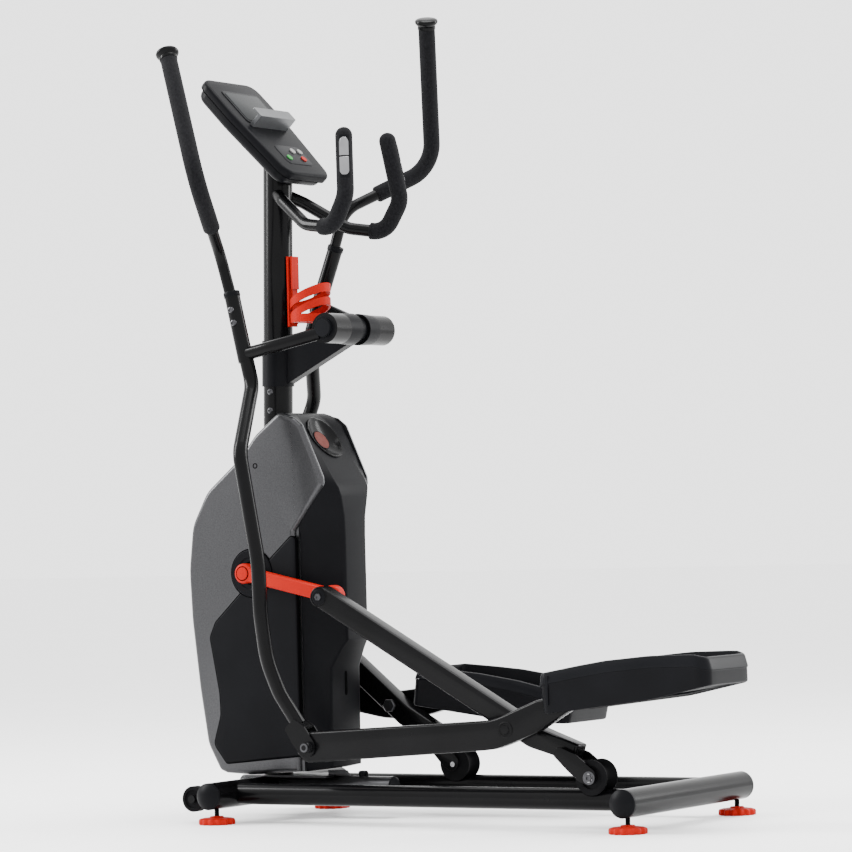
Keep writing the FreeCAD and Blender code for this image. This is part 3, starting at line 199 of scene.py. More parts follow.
def loft(name, rings, slot_name, body, material=None, caps=(True, True), closed=True, crease=35.0):
    """Quads between rings of equal count, with flat ends where asked."""
    count = len(rings[0])
    verts = [p for ring in rings for p in ring]
    faces = []
    span = count if closed else count - 1
    for r in range(len(rings) - 1):
        for i in range(span):
            j = (i + 1) % count
            faces.append((r * count + i, r * count + j, (r + 1) * count + j, (r + 1) * count + i))
    if caps[0]:
        faces.append(tuple(range(count)))
    if caps[1]:
        faces.append(tuple(range((len(rings) - 1) * count, len(rings) * count)))
    return mesh_object(name, verts, faces, slot_name, body, material, crease)


def rounded(points, step=7.5, fixed=0):
    """A dense closed outline from (x, y, radius) corners; fixed is a set number of chords a corner."""
    count = len(points)
    out = []
    for i, (x, y, radius) in enumerate(points):
        corner = Vector((x, y))
        before = Vector(points[i - 1][:2])
        after = Vector(points[(i + 1) % count][:2])
        back, ahead = (before - corner).normalized(), (after - corner).normalized()
        half = back.angle(ahead) / 2.0
        limit = 0.49 * min((before - corner).length, (after - corner).length) * math.tan(half)
        if radius <= 0.0:
            out.append(corner)
            continue
        radius = max(min(radius, limit), 1e-4)
        start, end = corner + back * radius / math.tan(half), corner + ahead * radius / math.tan(half)
        centre = corner + (back + ahead).normalized() * radius / math.sin(half)
        turn = math.pi - 2 * half
        pieces = fixed or max(2, int(math.degrees(turn) / step) + 1)
        a, b = start - centre, end - centre
        sign = 1.0 if a.x * b.y - a.y * b.x > 0 else -1.0
        for k in range(pieces + 1):
            t = sign * turn * k / pieces
            out.append(centre + Vector((a.x * math.cos(t) - a.y * math.sin(t),
                                        a.x * math.sin(t) + a.y * math.cos(t))))
    return out


def grow(outline, amount):
    """The outline moved outwards (or inwards, below zero) along its normals."""
    count = len(outline)
    area = sum(outline[i].x * outline[(i + 1) % count].y - outline[(i + 1) % count].x * outline[i].y
               for i in range(count))
    sign = 1.0 if area > 0 else -1.0
    moved = []
    for i, point in enumerate(outline):
        a = (point - outline[i - 1]).normalized()
        b = (outline[(i + 1) % count] - point).normalized()
        normal_a, normal_b = Vector((a.y, -a.x)), Vector((b.y, -b.x))
        total = normal_a + normal_b
        moved.append(point + total * sign * amount / max(0.35, 1.0 + normal_a.dot(normal_b)))
    return moved


def slab(name, outline, low, high, r_low, r_high, place, slot_name, body, material=None, steps=5):
    """A thick plate of a 2D outline whose two rims are rounded; place maps (u, v, w) to the row frame."""
    rings = []
    for k in range(steps + 1):
        t = math.pi / 2 * k / steps
        if r_low > 0 or k == steps:
            rings.append((grow(outline, -r_low * (1 - math.sin(t))), low + r_low * (1 - math.cos(t))))
    for k in range(steps + 1):
        t = math.pi / 2 * k / steps
        if r_high > 0 or k == 0:
            rings.append((grow(outline, -r_high * (1 - math.cos(t))), high - r_high * (1 - math.sin(t))))
    points = [[place @ Vector((p.x, p.y, w)) for p in ring] for ring, w in rings]
    return loft(name, points, slot_name, body, material)


def revolve(name, profile, origin, axis, slot_name, body, material=None, seg=48, lobes=None,
            caps=(True, True)):
    """A turned piece from (radius, height) pairs along an axis."""
    axis = Vector(axis).normalized()
    turn = Vector((0, 0, 1)).rotation_difference(axis).to_matrix()
    rings = []
    for r, h in profile:
        ring = []
        for k in range(seg):
            a = 2 * math.pi * k / seg
            rr = r * (1 + lobes[1] * math.cos(lobes[0] * a)) if lobes else r
            ring.append(Vector(origin) + turn @ Vector((rr * math.cos(a), rr * math.sin(a), h)))
        rings.append(ring)
    return loft(name, rings, slot_name, body, material, caps)


def bent(points, radii, step=6.0):
    """Points along straight runs and tangent arcs."""
    spots = [Vector(p) for p in points]
    out = [spots[0]]
    for before, corner, after, radius in zip(spots, spots[1:], spots[2:], radii):
        back, ahead = (before - corner).normalized(), (after - corner).normalized()
        half = back.angle(ahead) / 2.0
        reach = radius / math.tan(half)
        centre = corner + (back + ahead).normalized() * radius / math.sin(half)
        start, end = corner + back * reach - centre, corner + ahead * reach - centre
        turn = start.angle(end)
        pieces = max(2, int(math.degrees(turn) / step))
        spin = start.cross(end).normalized()
        for k in range(pieces + 1):
            out.append(centre + Matrix.Rotation(turn * k / pieces, 3, spin) @ start)
    out.append(spots[-1])
    return out


def sweep(name, points, radius, slot_name, body, material=None, seg=32, ends=0.0):
    """A round skin along a path, its ends rounded by a small radius where asked."""
    spots = [Vector(p) for p in points]
    tangents = []
    for i in range(len(spots)):
        a = spots[max(i - 1, 0)]
        b = spots[min(i + 1, len(spots) - 1)]
        tangents.append((b - a).normalized())
    side = tangents[0].orthogonal().normalized()
    stations = []
    if ends:
        for k in range(4):
            t = math.pi / 2 * k / 4
            stations.append((spots[0] + tangents[0] * ends * (1 - math.cos(t)), tangents[0],
                             radius - ends * (1 - math.sin(t))))
    stations += [(p, t, radius) for p, t in zip(spots[1 if ends else 0:len(spots) - (1 if ends else 0)],
                                                tangents[1 if ends else 0:len(spots) - (1 if ends else 0)])]
    if ends:
        stations.insert(4, (spots[0] + tangents[0] * ends, tangents[0], radius))
        stations.append((spots[-1] - tangents[-1] * ends, tangents[-1], radius))
        for k in (3, 2, 1, 0):
            t = math.pi / 2 * k / 4
            stations.append((spots[-1] - tangents[-1] * ends * (1 - math.cos(t)), tangents[-1],
                             radius - ends * (1 - math.sin(t))))
    rings = []
    for point, tangent, r in stations:
        side = (side - tangent * side.dot(tangent)).normalized()
        other = tangent.cross(side)
        ring = []
        for k in range(seg):
            turn = 2 * math.pi * k / seg
            ring.append(point + (side * math.cos(turn) + other * math.sin(turn)) * r)
        rings.append(ring)
    return loft(name, rings, slot_name, body, material, crease=50.0)


def upright(side, base_y):
    """Maps an XZ outline measured in mm from the crank axle to the row frame; w runs outwards."""
    return Matrix(((0.001, 0, 0, AXLE.x), (0, 0, side * 0.001, side * base_y * 0.001), (0, 0.001, 0, 0),
                   (0, 0, 0, 1)))


def link_map(origin, angle, side):
    """Maps a link's own (x, z, y outwards) in mm to the row frame."""
    c, s = math.cos(angle) * 0.001, math.sin(angle) * 0.001
    return Matrix(((c, -s, 0, origin[0]), (0, 0, side * 0.001, 0), (s, c, 0, origin[1]), (0, 0, 0, 1)))


def at(x, y, z):
    """A point in mm from the crank axle's X and the floor."""
    return Vector((AXLE.x + x * 0.001, y * 0.001, z * 0.001))


# --- linkage --------------------------------------------------------------------------------------

CRANK, LEG, ALONG, OFF, DROP = 0.2127, 0.692, 0.728, -0.0038, math.radians(13.03)


def linkage(label, side):
    """Origins and angles of the side's links at rest."""
    pin = (AXLE.x - side * CRANK * math.cos(DROP), AXLE.z + side * CRANK * math.sin(DROP))
    wheel = JOINTS[label + "_leg_swing"]["pos_m"]
    leg = math.atan2(wheel[2] - pin[1], wheel[0] - pin[0])
    pivot = (pin[0] + ALONG * LEG * math.cos(leg) - OFF * math.sin(leg),
             pin[1] + ALONG * LEG * math.sin(leg) + OFF * math.cos(leg))
    toe = JOINTS[label + "_foot_swing"]["pos_m"]
    hub = JOINTS[label + "_arm_swing"]["pos_m"]
    return {
        "pin": pin, "leg": leg, "pivot": pivot, "toe": (toe[0], toe[2]), "hub": (hub[0], hub[2]),
        "wheel": (wheel[0], wheel[2]),
        "foot": math.atan2(pivot[1] - toe[2], pivot[0] - toe[0]),
        "arm": math.atan2(toe[0] - hub[0], hub[2] - toe[2]),
    }


# --- casing ---------------------------------------------------------------------------------------

# the casing's half width and where its outer panels start, from the middle plane
HALF_WIDTH, PANEL_START = 90.0, 79.0
CASE = [(-76, 92, 14), (-20, 89, 0), (107, 96, 0), (107, 600, 4), (84, 640, 10), (84, 792, 4), (80, 804, 4),
        (67, 809, 16), (12, 768, 60),
        (-26, 723, 80), (-108, 657, 70), (-145, 590, 80), (-156, 500, 200), (-152, 400, 200),
        (-137, 262, 200), (-120, 150, 60), (-92, 98, 14)]
PANEL = CASE[:2] + [(99, 96, 0), (99, 574, 6), (112, 590, 6), (170, 664, 10), (169, 680, 10),
                    (123, 784, 12), (104, 799, 8)] + CASE[7:]
# a thin lighter bead along the panel's rear and top rim: its silver is a painted rim highlight
RIM_HIGHLIGHT_BEAD = [(20, 600, 0), (102, 592, 2)] + PANEL[5:10]
INSERT = [(-72, 112, 8), (104, 128, 4), (104, 572, 8), (30, 507, 6), (-24, 456, 6), (-91, 394, 12),
          (-105, 364, 18),
          (-85, 254, 50), (-83, 208, 50), (-101, 150, 16)]


def build_casing():
    """Lacquered casing panels with a rolled rim and a lighter bead as painted rim highlight, dark inserts, crank
    seals and screws.
    """
    for label, side in SIDES.items():
        skin = slab(label + "_casing_skin", rounded(PANEL), PANEL_START, HALF_WIDTH, 0.0, 9.0,
                    upright(side, 0), "grey_metallic",
                    "frame")
        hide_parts(label + "_casing")
        slab(label + "_casing_inner", grow(rounded(CASE), -0.4), 0.6, 80.0, 0.0, 0.0, upright(side, 0),
             "grey_metallic", "frame")
        # the bead's lighter silver is painted highlight along the panel's rim
        slab(label + "_casing_highlight_bead", grow(rounded(RIM_HIGHLIGHT_BEAD), 0.4), 79.2, 82.0, 0.3, 0.3, upright(side, 0),
             "grey_metallic", "frame", "silver_and_rim_highlight")
        slab(label + "_insert_gap", grow(rounded(INSERT), 2.2), 84.0, 90.5, 0.0, 0.2, upright(side, 0),
             "charcoal_plastic", "frame", "dark_seam")
        plate = slab(label + "_insert_plate", rounded(INSERT), 85.0, 92.4, 0.0, 2.6, upright(side, 0),
                     "charcoal_plastic", "frame")
        if side < 0:
            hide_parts("casing_side_inserts")
        revolve(label + "_crank_seal", [(0.047, 0.0), (0.0475, 0.003), (0.0455, 0.0052), (0.033, 0.0052),
                                        (0.031, 0.0036), (0.024, 0.0036), (0.024, -0.003)],
                (AXLE.x, side * 0.090, AXLE.z), (0, side, 0), "charcoal_plastic", "frame",
                caps=(False, False))
        revolve(label + "_crank_gap", [(0.0495, 0.0), (0.0495, 0.0028), (0.046, 0.0029)],
                (AXLE.x, side * 0.090, AXLE.z), (0, side, 0), "charcoal_plastic", "frame", "dark_seam")
        spot = at(13, side * 89.9, 706)
        revolve(label + "_casing_screw", [(0.0055, 0.0), (0.0055, 0.0004), (0.0036, 0.0006),
                                          (0.0034, -0.001)], spot,
                (0, side, 0), "charcoal_plastic", "frame", "dark_seam")


# z, rear x, half width of the back, x and half width where the flank starts
COVER = [(96, 110, 70, 104, 74), (104, 156, 55, 107, 75), (300, 158, 54, 107, 75), (336, 176, 46, 107, 75),
         (356, 189, 40, 107, 75), (560, 189, 40, 107, 75), (600, 189, 41, 117, 84), (640, 189, 50, 148, 84),
         (658, 187, 55, 163, 84), (668, 182, 57, 167, 84), (679, 175, 58, 165, 84), (700, 161, 56, 156, 84),
         (733, 139.5, 53, 142, 84), (760, 121.5, 51, 130, 84), (785, 104, 49, 119, 84),
         (797, 93, 46, 103, 83),
         (805, 83, 42, 90, 80), (810, 72, 36, 76, 76)]


def carve(body, cutter):
    """The body's mesh with the cutter's volume taken out; the cutter is then gone."""
    step = body.modifiers.new("carve", "BOOLEAN")
    step.operation, step.object, step.solver = "DIFFERENCE", cutter, "EXACT"
    view = bpy.context.evaluated_depsgraph_get()
    mesh = bpy.data.meshes.new_from_object(body.evaluated_get(view))
    body.modifiers.clear()
    body.data = mesh
    bpy.data.objects.remove(cutter)
    mesh.set_sharp_from_angle(angle=math.radians(28.0))


def build_cover():
    """The dark rear cover: its back narrows downwards, and its sloping top holds a sunk round badge."""
    rings = []
    for z, rear, flat, edge, side in COVER:
        front = 98 if z < 600 else 60
        corner = rounded([(front, -side, 0), (edge, -side, 4), (rear, -flat, 9), (rear, flat, 9),
                          (edge, side, 4), (front, side, 0)], fixed=4)
        rings.append([at(p.x, p.y, z) for p in corner])
    body = loft("cover_shell", rings, "charcoal_plastic", "frame", crease=28.0)
    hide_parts("rear_cover")
    slope = Vector((0.828, 0.0, 0.560))
    rim = at(122.5, 0, 760)
    bowl = [(0.0002, -0.0130), (0.012, -0.0122), (0.024, -0.0096), (0.034, -0.0058), (0.041, -0.0022),
            (0.0445, 0.0004)]
    mesh = bpy.data.meshes.new("cut")
    turn = Vector((0, 0, 1)).rotation_difference(slope).to_matrix()
    verts, faces, seg = [], [], 72
    profile = [(r, h - 0.0006) for r, h in bowl] + [(0.0465, 0.004), (0.0465, 0.03)]
    for r, h in profile:
        verts += [rim + turn @ Vector((r * math.cos(2 * math.pi * k / seg),
                                       r * math.sin(2 * math.pi * k / seg), h))
                  for k in range(seg)]
    for level in range(len(profile) - 1):
        for k in range(seg):
            j = (k + 1) % seg
            faces.append((level * seg + k, level * seg + j, (level + 1) * seg + j, (level + 1) * seg + k))
    faces += [tuple(reversed(range(seg))), tuple(range((len(profile) - 1) * seg, len(profile) * seg))]
    mesh.from_pydata([tuple(v) for v in verts], [], faces)
    cutter = bpy.data.objects.new("cut", mesh)
    bpy.context.scene.collection.objects.link(cutter)
    carve(body, cutter)
    lip = bowl[1:] + [(0.0462, 0.0016), (0.0478, 0.0018), (0.0492, 0.0008), (0.0494, -0.0015)]
    revolve("badge_dish", lip, rim, slope, "charcoal_plastic", "frame", "gloss_black_tube", seg=72,
            caps=(True, False))
    badge = revolve("badge_disc", [(0.0205, -0.001), (0.0205, 0.0018), (0.0196, 0.0026), (0.008, 0.0031)],
                    rim - slope * 0.0112, slope, "red_plastic", "frame", "badge_red", seg=64)
    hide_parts("rear_medallion")
    revolve("badge_band", [(0.0214, -0.001), (0.0216, 0.0022), (0.0206, 0.0024), (0.0204, 0.001)],
            rim - slope * 0.0112,
            slope, "red_plastic", "frame", "charcoal_plastic", seg=64, caps=(False, False))
    slab("cover_slot", rounded([(-24, -4, 4), (24, -4, 4), (24, 4, 4), (-24, 4, 4)]), -1.0, 0.7, 0.0, 0.3,
         Matrix(((0, 0, 0.001, AXLE.x + 0.1578), (0, 0.001, 0, 0), (0.001, 0, 0, 0.268), (0, 0, 0, 1))),
         "charcoal_plastic", "frame", "dark_seam")


# --- console --------------------------------------------------------------------------------------

def console_map():
    """The console's own (across, up, out) in mm to the row frame, from its face plane."""
    tilt = math.radians(46.2)
    up, out = Vector((-math.cos(tilt), 0, math.sin(tilt))), Vector((math.sin(tilt), 0, math.cos(tilt)))
    side = up.cross(out)
    base = at(11.5, 0, 1386.5)
    rows = [[side[i] * 0.001, up[i] * 0.001, out[i] * 0.001, base[i]] for i in range(3)]
    return Matrix(rows + [[0, 0, 0, 1]])


def build_pulse_plates():
    """Two curved metal plates on the outer face of each fixed grip, tapered away from a dark band."""
    for label, side in SIDES.items():
        tip, under = at(238, side * 82, 1352), at(252, side * 103, 1232)
        along = (tip - under).normalized()
        outward = Vector((0.5, side * 0.86, 0.0))
        outward = (outward - along * outward.dot(along)).normalized()
        other = along.cross(outward)
        for part, low, high in (("low", -0.086, -0.0485), ("high", -0.0455, -0.008)):
            rings = []
            for k in range(15):
                a = math.radians(-31 + 62 * k / 14)
                normal = outward * math.cos(a) + other * math.sin(a)
                taper = 0.0004 + 0.0075 * abs(k / 7 - 1) ** 3
                start, stop = (low + taper, high) if part == "low" else (low, high - taper)
                rings.append([tip + along * h + normal * r for h, r in (
                    (start, 0.0168), (start, 0.0176), (start + 0.001, 0.0180), (stop - 0.001, 0.0180),
                    (stop, 0.0176), (stop, 0.0168))])
            plate = loft("%s_pulse_plate_%s" % (label, part), rings, "chrome", "frame", caps=(False, False),
                         closed=False)
            if side < 0 and part == "low":
                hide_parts("pulse_sensors")
        frame_rings = []
        for k in range(17):
            a = math.radians(-40 + 80 * k / 16)
            normal = outward * math.cos(a) + other * math.sin(a)
            frame_rings.append([tip + along * h + normal * r for h, r in (
                (-0.092, 0.0165), (-0.091, 0.0173), (-0.003, 0.0173), (-0.002, 0.0165))])
        loft(label + "_pulse_frame", frame_rings, "charcoal_plastic", "frame", caps=(False, False),
             closed=False)


def build_console():
    """Console shells with rolled edges, a framed display and a key field."""
    place = console_map()
    face = rounded([(-80, -138, 28), (80, -138, 28), (97, 40, 200), (94, 147, 30), (-94, 147, 30),
                    (-97, 40, 200)])
    front = slab("console_face", face, -16.0, -0.4, 2.0, 7.0, place, "charcoal_plastic", "frame")
    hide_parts("console_front_shell")
    back = slab("console_back", rounded([(-76, -130, 26), (76, -130, 26), (92, 40, 200), (89, 140, 28),
                                         (-89, 140, 28), (-92, 40, 200)]), -40.5, -14.0,
                16.0, 0.0, place, "charcoal_plastic", "frame")
    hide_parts("console_rear_shell")
    slab("console_seam", grow(face, -0.6), -17.4, -15.2, 0.0, 0.0, place, "charcoal_plastic", "frame",
         "dark_seam")
    rim = rounded([(-66, 14, 10), (66, 14, 10), (66, 110, 10), (-66, 110, 10)])
    slab("display_frame", rim, -2.0, 1.4, 0.0, 1.2, place, "charcoal_plastic", "frame", "light_charcoal")
    glass = slab("display_window", rounded([(-60, 20, 7), (60, 20, 7), (60, 104, 7), (-60, 104, 7)]), -1.0,
                 2.0, 0.0, 0.4, place, "display_glass", "frame")
    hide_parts("display")
    slab("key_field", rounded([(-46, -106, 12), (46, -106, 12), (46, -50, 12), (-46, -50, 12)]), -1.5, 0.4,
         0.0, 0.3,
         place, "charcoal_plastic", "frame", "light_charcoal")


# --- linkage pieces -------------------------------------------------------------------------------

def arm_outline():
    """The crank arm's outline: boss, bar and eye."""
    points = []
    for k in range(25):
        a = math.radians(44.4 + (315.6 - 44.4) * k / 24)
        points.append(Vector((20 * math.cos(a), 20 * math.sin(a))))
    for k in range(25):
        a = math.radians(-140.5 + 281.0 * k / 24)
        points.append(Vector((212.7 + 22 * math.cos(a), 22 * math.sin(a))))
    return points


def build_crank(label, side):
    """The red arm with its rolled edges, and the red cap over the axle."""
    angle = -DROP if side < 0 else math.pi - DROP
    place = link_map((AXLE.x, AXLE.z), angle, side)
    arm = slab(label + "_arm_forging", arm_outline(), 104.8, 126.3, 3.0, 4.5, place, "red_metal", "crank")
    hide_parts(label + "_crank_arm")
    centre = (AXLE.x, side * 0.1262, AXLE.z)
    revolve(label + "_axle_cap", [(0.0128, -0.004), (0.0128, 0.0008), (0.0115, 0.0024), (0.006, 0.0030)],
            centre, (0, side, 0), "red_metal", "crank")
    revolve(label + "_axle_groove", [(0.0146, -0.001), (0.0146, 0.0003), (0.0127, 0.0003)], centre,
            (0, side, 0),
            "red_metal", "crank", "dark_seam", caps=(False, False))


def build_legs(label, side, link):
    """Roller leg and foot leg with rolled edges and their pin heads."""
    place = link_map(link["pin"], link["leg"], side)
    leg, knee = 692.0, 0.728 * 692.0 + 36.0
    end, rise, tall = leg - 52.0, 18.0, 21.0
    run = math.hypot(end - knee, rise)
    dx, dz = (end - knee) / run, rise / run
    beam = [(0, -tall, 0), (knee + 4, -tall, 60), (end + dz * 14, rise - 15 * dx, 4),
            (end - dz * 20, rise + 20 * dx, 4),
            (knee - 4, tall, 60), (0, tall, 0)]
    front = [Vector((21 * math.cos(math.radians(90 + 180 * k / 16)),
                     21 * math.sin(math.radians(90 + 180 * k / 16))))
             for k in range(17)]
    outline = front + rounded(beam)[1:-1]
    body = label + "_roller_link"
    skin = slab(label + "_leg_beam", outline, 131.5, 169.4, 5.0, 6.0, place, "gloss_black_tube", body)
    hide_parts(label + "_roller_leg")
    cheek = rounded([(end - 34, -2, 4), (end + 6, -12, 6), (leg - 14, -17, 10), (leg + 8, -13, 10),
                     (leg + 13, 4, 12), (leg + 4, 17, 10), (end + 4, rise + 6, 10), (end - 34, rise, 4)])
    slab(label + "_fork_inner", cheek, 123.5, 127.5, 0.8, 0.8, place, "gloss_black_tube", body)
    slab(label + "_fork_outer", cheek, 180.5, 184.5, 0.8, 1.2, place, "gloss_black_tube", body)
    bridge = rounded([(end - 33, -1, 3), (end - 9, -1, 3), (end - 9, rise - 1, 3), (end - 33, rise - 1, 3)])
    slab(label + "_fork_bridge", bridge, 124.0, 184.0, 1.0, 1.0, place, "gloss_black_tube", body)
    nut = place @ Vector((ALONG * leg, -3.8, 169.0))
    revolve(label + "_pivot_bush", [(0.016, -0.001), (0.016, 0.0026)], nut, (0, side, 0), "steel", body,
            "dark_bolt")
    back = place @ Vector((ALONG * leg, -3.8, 131.8))
    revolve(label + "_pivot_nut", [(0.0145, -0.001), (0.0145, 0.0062), (0.0128, 0.0080), (0.006, 0.0082)],
            back, (0, -side, 0), "steel", body, "dark_bolt", seg=6)
    revolve(label + "_pin_collar", [(0.0125, -0.001), (0.0125, 0.0044)], place @ Vector((0, 0, 131.8)),
            (0, -side, 0),
            "steel", body)
    pin = place @ Vector((0, 0, 169.0))
    revolve(label + "_crank_pin_cap", [(0.0155, -0.001), (0.0155, 0.001), (0.013, 0.0022), (0.006, 0.0026)],
            pin, (0, side, 0), "gloss_black_tube", body, "charcoal_plastic")
    revolve(label + "_crank_pin_ring", [(0.0195, -0.001), (0.0195, 0.0008), (0.0182, 0.0014),
                                        (0.017, 0.0004)], pin,
            (0, side, 0), "gloss_black_tube", body, caps=(False, False))
    revolve(label + "_crank_pin_bolt", [(0.0075, 0.001), (0.0075, 0.0052), (0.0066, 0.006),
                                        (0.0034, 0.0061),
                                        (0.0031, 0.0045)], pin, (0, side, 0), "steel", body, "dark_bolt",
            seg=6)

    place = link_map(link["pivot"], link["foot"], side)
    span, high = 445.1, 30.0
    beam = [(-span, -high, 0), (-30, -high - 6, 160), (60, -12, 120), (150, 30, 60), (250, 47, 2),
            (250, 58, 2), (130, 56, 2), (70, 50, 60), (-30, high - 10, 160), (-span, high - 1, 0)]
    eye = [Vector((-span + 30 * math.cos(math.radians(88 + 182 * k / 18)),
                   30 * math.sin(math.radians(88 + 182 * k / 18))))
           for k in range(19)]
    outline = eye + rounded(beam)[1:-1]
    body = label + "_foot_link"
    skin = slab(label + "_foot_beam", outline, 176.6, 206.4, 6.0, 7.0, place, "gloss_black_tube", body)
    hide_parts(label + "_foot_leg")
    spot = place @ Vector((0, 0, 206.0))
    revolve(label + "_pivot_ring", [(0.0155, -0.001), (0.0158, 0.0012), (0.0145, 0.0024), (0.0125, 0.0024),
                                    (0.0115, 0.0012), (0.009, 0.0012), (0.008, 0.0026), (0.003, 0.0028)],
            spot, (0, side, 0), "gloss_black_tube", body)


def blend_line(table, x):
    """Linear interpolation in a table of (x, z)."""
    if x <= table[0][0]:
        return table[0][1]
    for (xa, za), (xb, zb) in zip(table, table[1:]):
        if x <= xb:
            return za + (zb - za) * (x - xa) / (xb - xa)
    return table[-1][1]


PEDAL_LOW = [(92, 26), (104, 22), (320, 30), (452, 47)]
PEDAL_TOP = [(92, 96), (106, 100), (180, 107), (240, 111.5), (330, 112.5), (424, 107), (452, 97)]


def build_pedal(label, side, link):
    """A deep foot tray: textured well, raised rim whose upper bevel band is painted lighter as painted highlight
    where light falls on it, and a slim skirt.
    """
    place = link_map(link["pivot"], link["foot"], side)
    body = label + "_foot_link"
    x0, x1, y0, y1 = 92.0, 452.0, 46.0, 235.0
    plan = rounded([(x0, y0, 20), (x1, y0, 26), (x1, y1, 26), (x0, y1, 20)], 7.5)
    dense = []
    for i, p in enumerate(plan):
        q = plan[(i + 1) % len(plan)]
        pieces = max(1, int((q - p).length / 18))
        dense += [p + (q - p) * k / pieces for k in range(pieces)]

    def ring(gap, level):
        return [place @ Vector((p.x, level(p.x), p.y)) for p in grow(dense, -gap)]

    def low(extra):
        return lambda x: blend_line(PEDAL_LOW, x) + extra

    def top(extra):
        return lambda x: blend_line(PEDAL_TOP, x) + extra

    def floor(x):
        return 78.0 + (x - 116.0) * 10.0 / 312.0
    rings = [ring(16, low(5)), ring(7, low(0.5)), ring(4.5, low(1.5)), ring(3.2, low(4)),
             ring(2.0, top(-26)), ring(1.4, top(-24)), ring(0.4, top(-22.6))]
    shell = loft(label + "_tray_wall", rings, "charcoal_plastic", body, caps=(True, False), crease=30)
    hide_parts(label + "_pedal")
    # the rim's lighter charcoal is painted highlight on the upper band that faces the light
    rings = [ring(0.4, top(-22.2)), ring(0.0, top(-21)), ring(3.5, top(-3.4)), ring(4.6, top(-1.2)),
             ring(6.4, top(-0.2)),
             ring(9.5, top(-0.2)), ring(11.2, top(-1.4)), ring(12.4, top(-4)), ring(14.5, floor)]
    loft(label + "_tray_rim", rings, "charcoal_plastic", body, "light_charcoal", caps=(False, False),
         crease=30)
    mat_ring = [ring(14.2, lambda x: floor(x) - 1), ring(14.2, floor)]
    loft(label + "_tray_floor", mat_ring, "charcoal_plastic", body, "textured_tread", crease=30)
    verts, faces = [], []
    for row in range(11):
        for col in range(18):
            cx, cy = 128.0 + col * 17.0 + (row % 2) * 8.5, 66.0 + row * 14.8
            if cx > 434:
                continue
            start = len(verts)
            for rr, lift in ((5.2, 0.0), (4.2, 1.7), (2.0, 2.1)):
                verts += [place @ Vector((cx + rr * math.cos(a * math.pi / 5), floor(cx) + lift,
                                          cy + rr * math.sin(a * math.pi / 5))) for a in range(10)]
            for level in (0, 1):
                for a in range(10):
                    b = (a + 1) % 10
                    faces.append((start + level * 10 + a, start + level * 10 + b,
                                  start + level * 10 + 10 + b, start + level * 10 + 10 + a))
            faces.append(tuple(start + 20 + a for a in range(10)))
    mesh_object(label + "_tread_dots", verts, faces, "charcoal_plastic", body, "textured_tread")
    # a thin rib in lighter charcoal: painted edge highlight on the tray's front
    highlight_rib = rounded([(108, 38, 2), (114, 38, 2), (119, 94, 2), (112, 94, 2)])
    slab(label + "_front_rib_highlight", highlight_rib, y1 - 7.0, y1 + 0.3, 0.0, 1.0, place, "charcoal_plastic", body,
         "light_charcoal")


ARM_UP = [(-190.3, 134.5, 28), (-224, 135.5, 152), (-173.5, 289, 294), (-291.5, 203.4, 551)]


def build_arm(label, side, link):
    """Foam grip, end knob, hub shell and cap, the sleeve's screws and ring, and the toe bolt."""
    place = link_map(link["hub"], link["arm"], side)
    body = label + "_arm"

    def spot(x, y, z):
        return place @ Vector((x, z, y))
    start = Vector(ARM_UP[1]) + (Vector(ARM_UP[2]) - Vector(ARM_UP[1])) * 0.36
    path = bent([spot(*start), spot(*ARM_UP[2]), spot(*ARM_UP[3])], [0.07], 5.0)
    grip = sweep(label + "_grip_foam", path, 0.017, "foam", body, ends=0.004)
    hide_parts(label + "_hand_grip")
    tip, before = spot(*ARM_UP[3]), spot(*ARM_UP[2])
    out = (tip - before).normalized()
    revolve(label + "_grip_collar", [(0.0178, -0.006), (0.0182, -0.005), (0.0182, 0.0), (0.0172, 0.0012)],
            tip, out,
            "gloss_black_tube", body)
    revolve(label + "_end_knob", [(0.0165, 0.0002), (0.0172, 0.001), (0.0215, 0.0048), (0.0232, 0.0082),
                                  (0.0234, 0.0105),
                                  (0.0222, 0.0132), (0.0185, 0.0152), (0.0125, 0.0162), (0.005, 0.0164)],
            tip, out,
            "gloss_black_tube", body)
    near = [(0.0120, 0.1172), (0.0168, 0.1171), (0.0178, 0.1163), (0.0181, 0.1145), (0.0181, 0.1085)]
    revolve(label + "_hub_cap", near, (link["hub"][0], 0, link["hub"][1]), (0, side, 0), "charcoal_plastic",
            body,
            "light_charcoal", caps=(True, False))
    shell = [(0.018, 0.1088), (0.0246, 0.1086), (0.0262, 0.107), (0.0268, 0.104), (0.0308, 0.040),
             (0.0316, 0.016), (0.0316, 0.0132), (0.0250, 0.0130)]
    revolve(label + "_hub_shell", shell, (link["hub"][0], 0, link["hub"][1]), (0, side, 0),
            "charcoal_plastic", body,
            caps=(False, False), seg=64)
    axis = (spot(-200.5, 134.5, 77) - spot(-170, 134.5, -60)).normalized()
    for z, x in ((44.0, -193.2), (18.0, -187.4)):
        revolve(label + "_sleeve_screw_%d" % int(z), [(0.0068, -0.001), (0.0068, 0.0012), (0.0056, 0.0034),
                                                      (0.0034, 0.0042), (0.0030, 0.0026), (0.0012, 0.0024)],
                spot(x, 149.5, z), (0, side, 0), "steel", body, "dark_bolt", seg=32)
    top = spot(-200.5, 134.5, 77)
    revolve(label + "_sleeve_ring", [(0.0128, 0.0036), (0.0158, 0.0036), (0.0166, 0.0022),
                                     (0.0166, -0.0060),
                                     (0.0158, -0.0072)], top, axis, "gloss_black_tube", body,
            "charcoal_plastic",
            caps=(False, False))
    toe = spot(0.0, 223.4, -819.9)
    revolve(label + "_toe_bolt", [(0.0112, -0.013), (0.0112, -0.0022), (0.0098, 0.0), (0.0052, 0.0004),
                                  (0.0048, -0.003),
                                  (0.001, -0.003)], toe, (0, side, 0), "steel", body, "dark_bolt", seg=32)


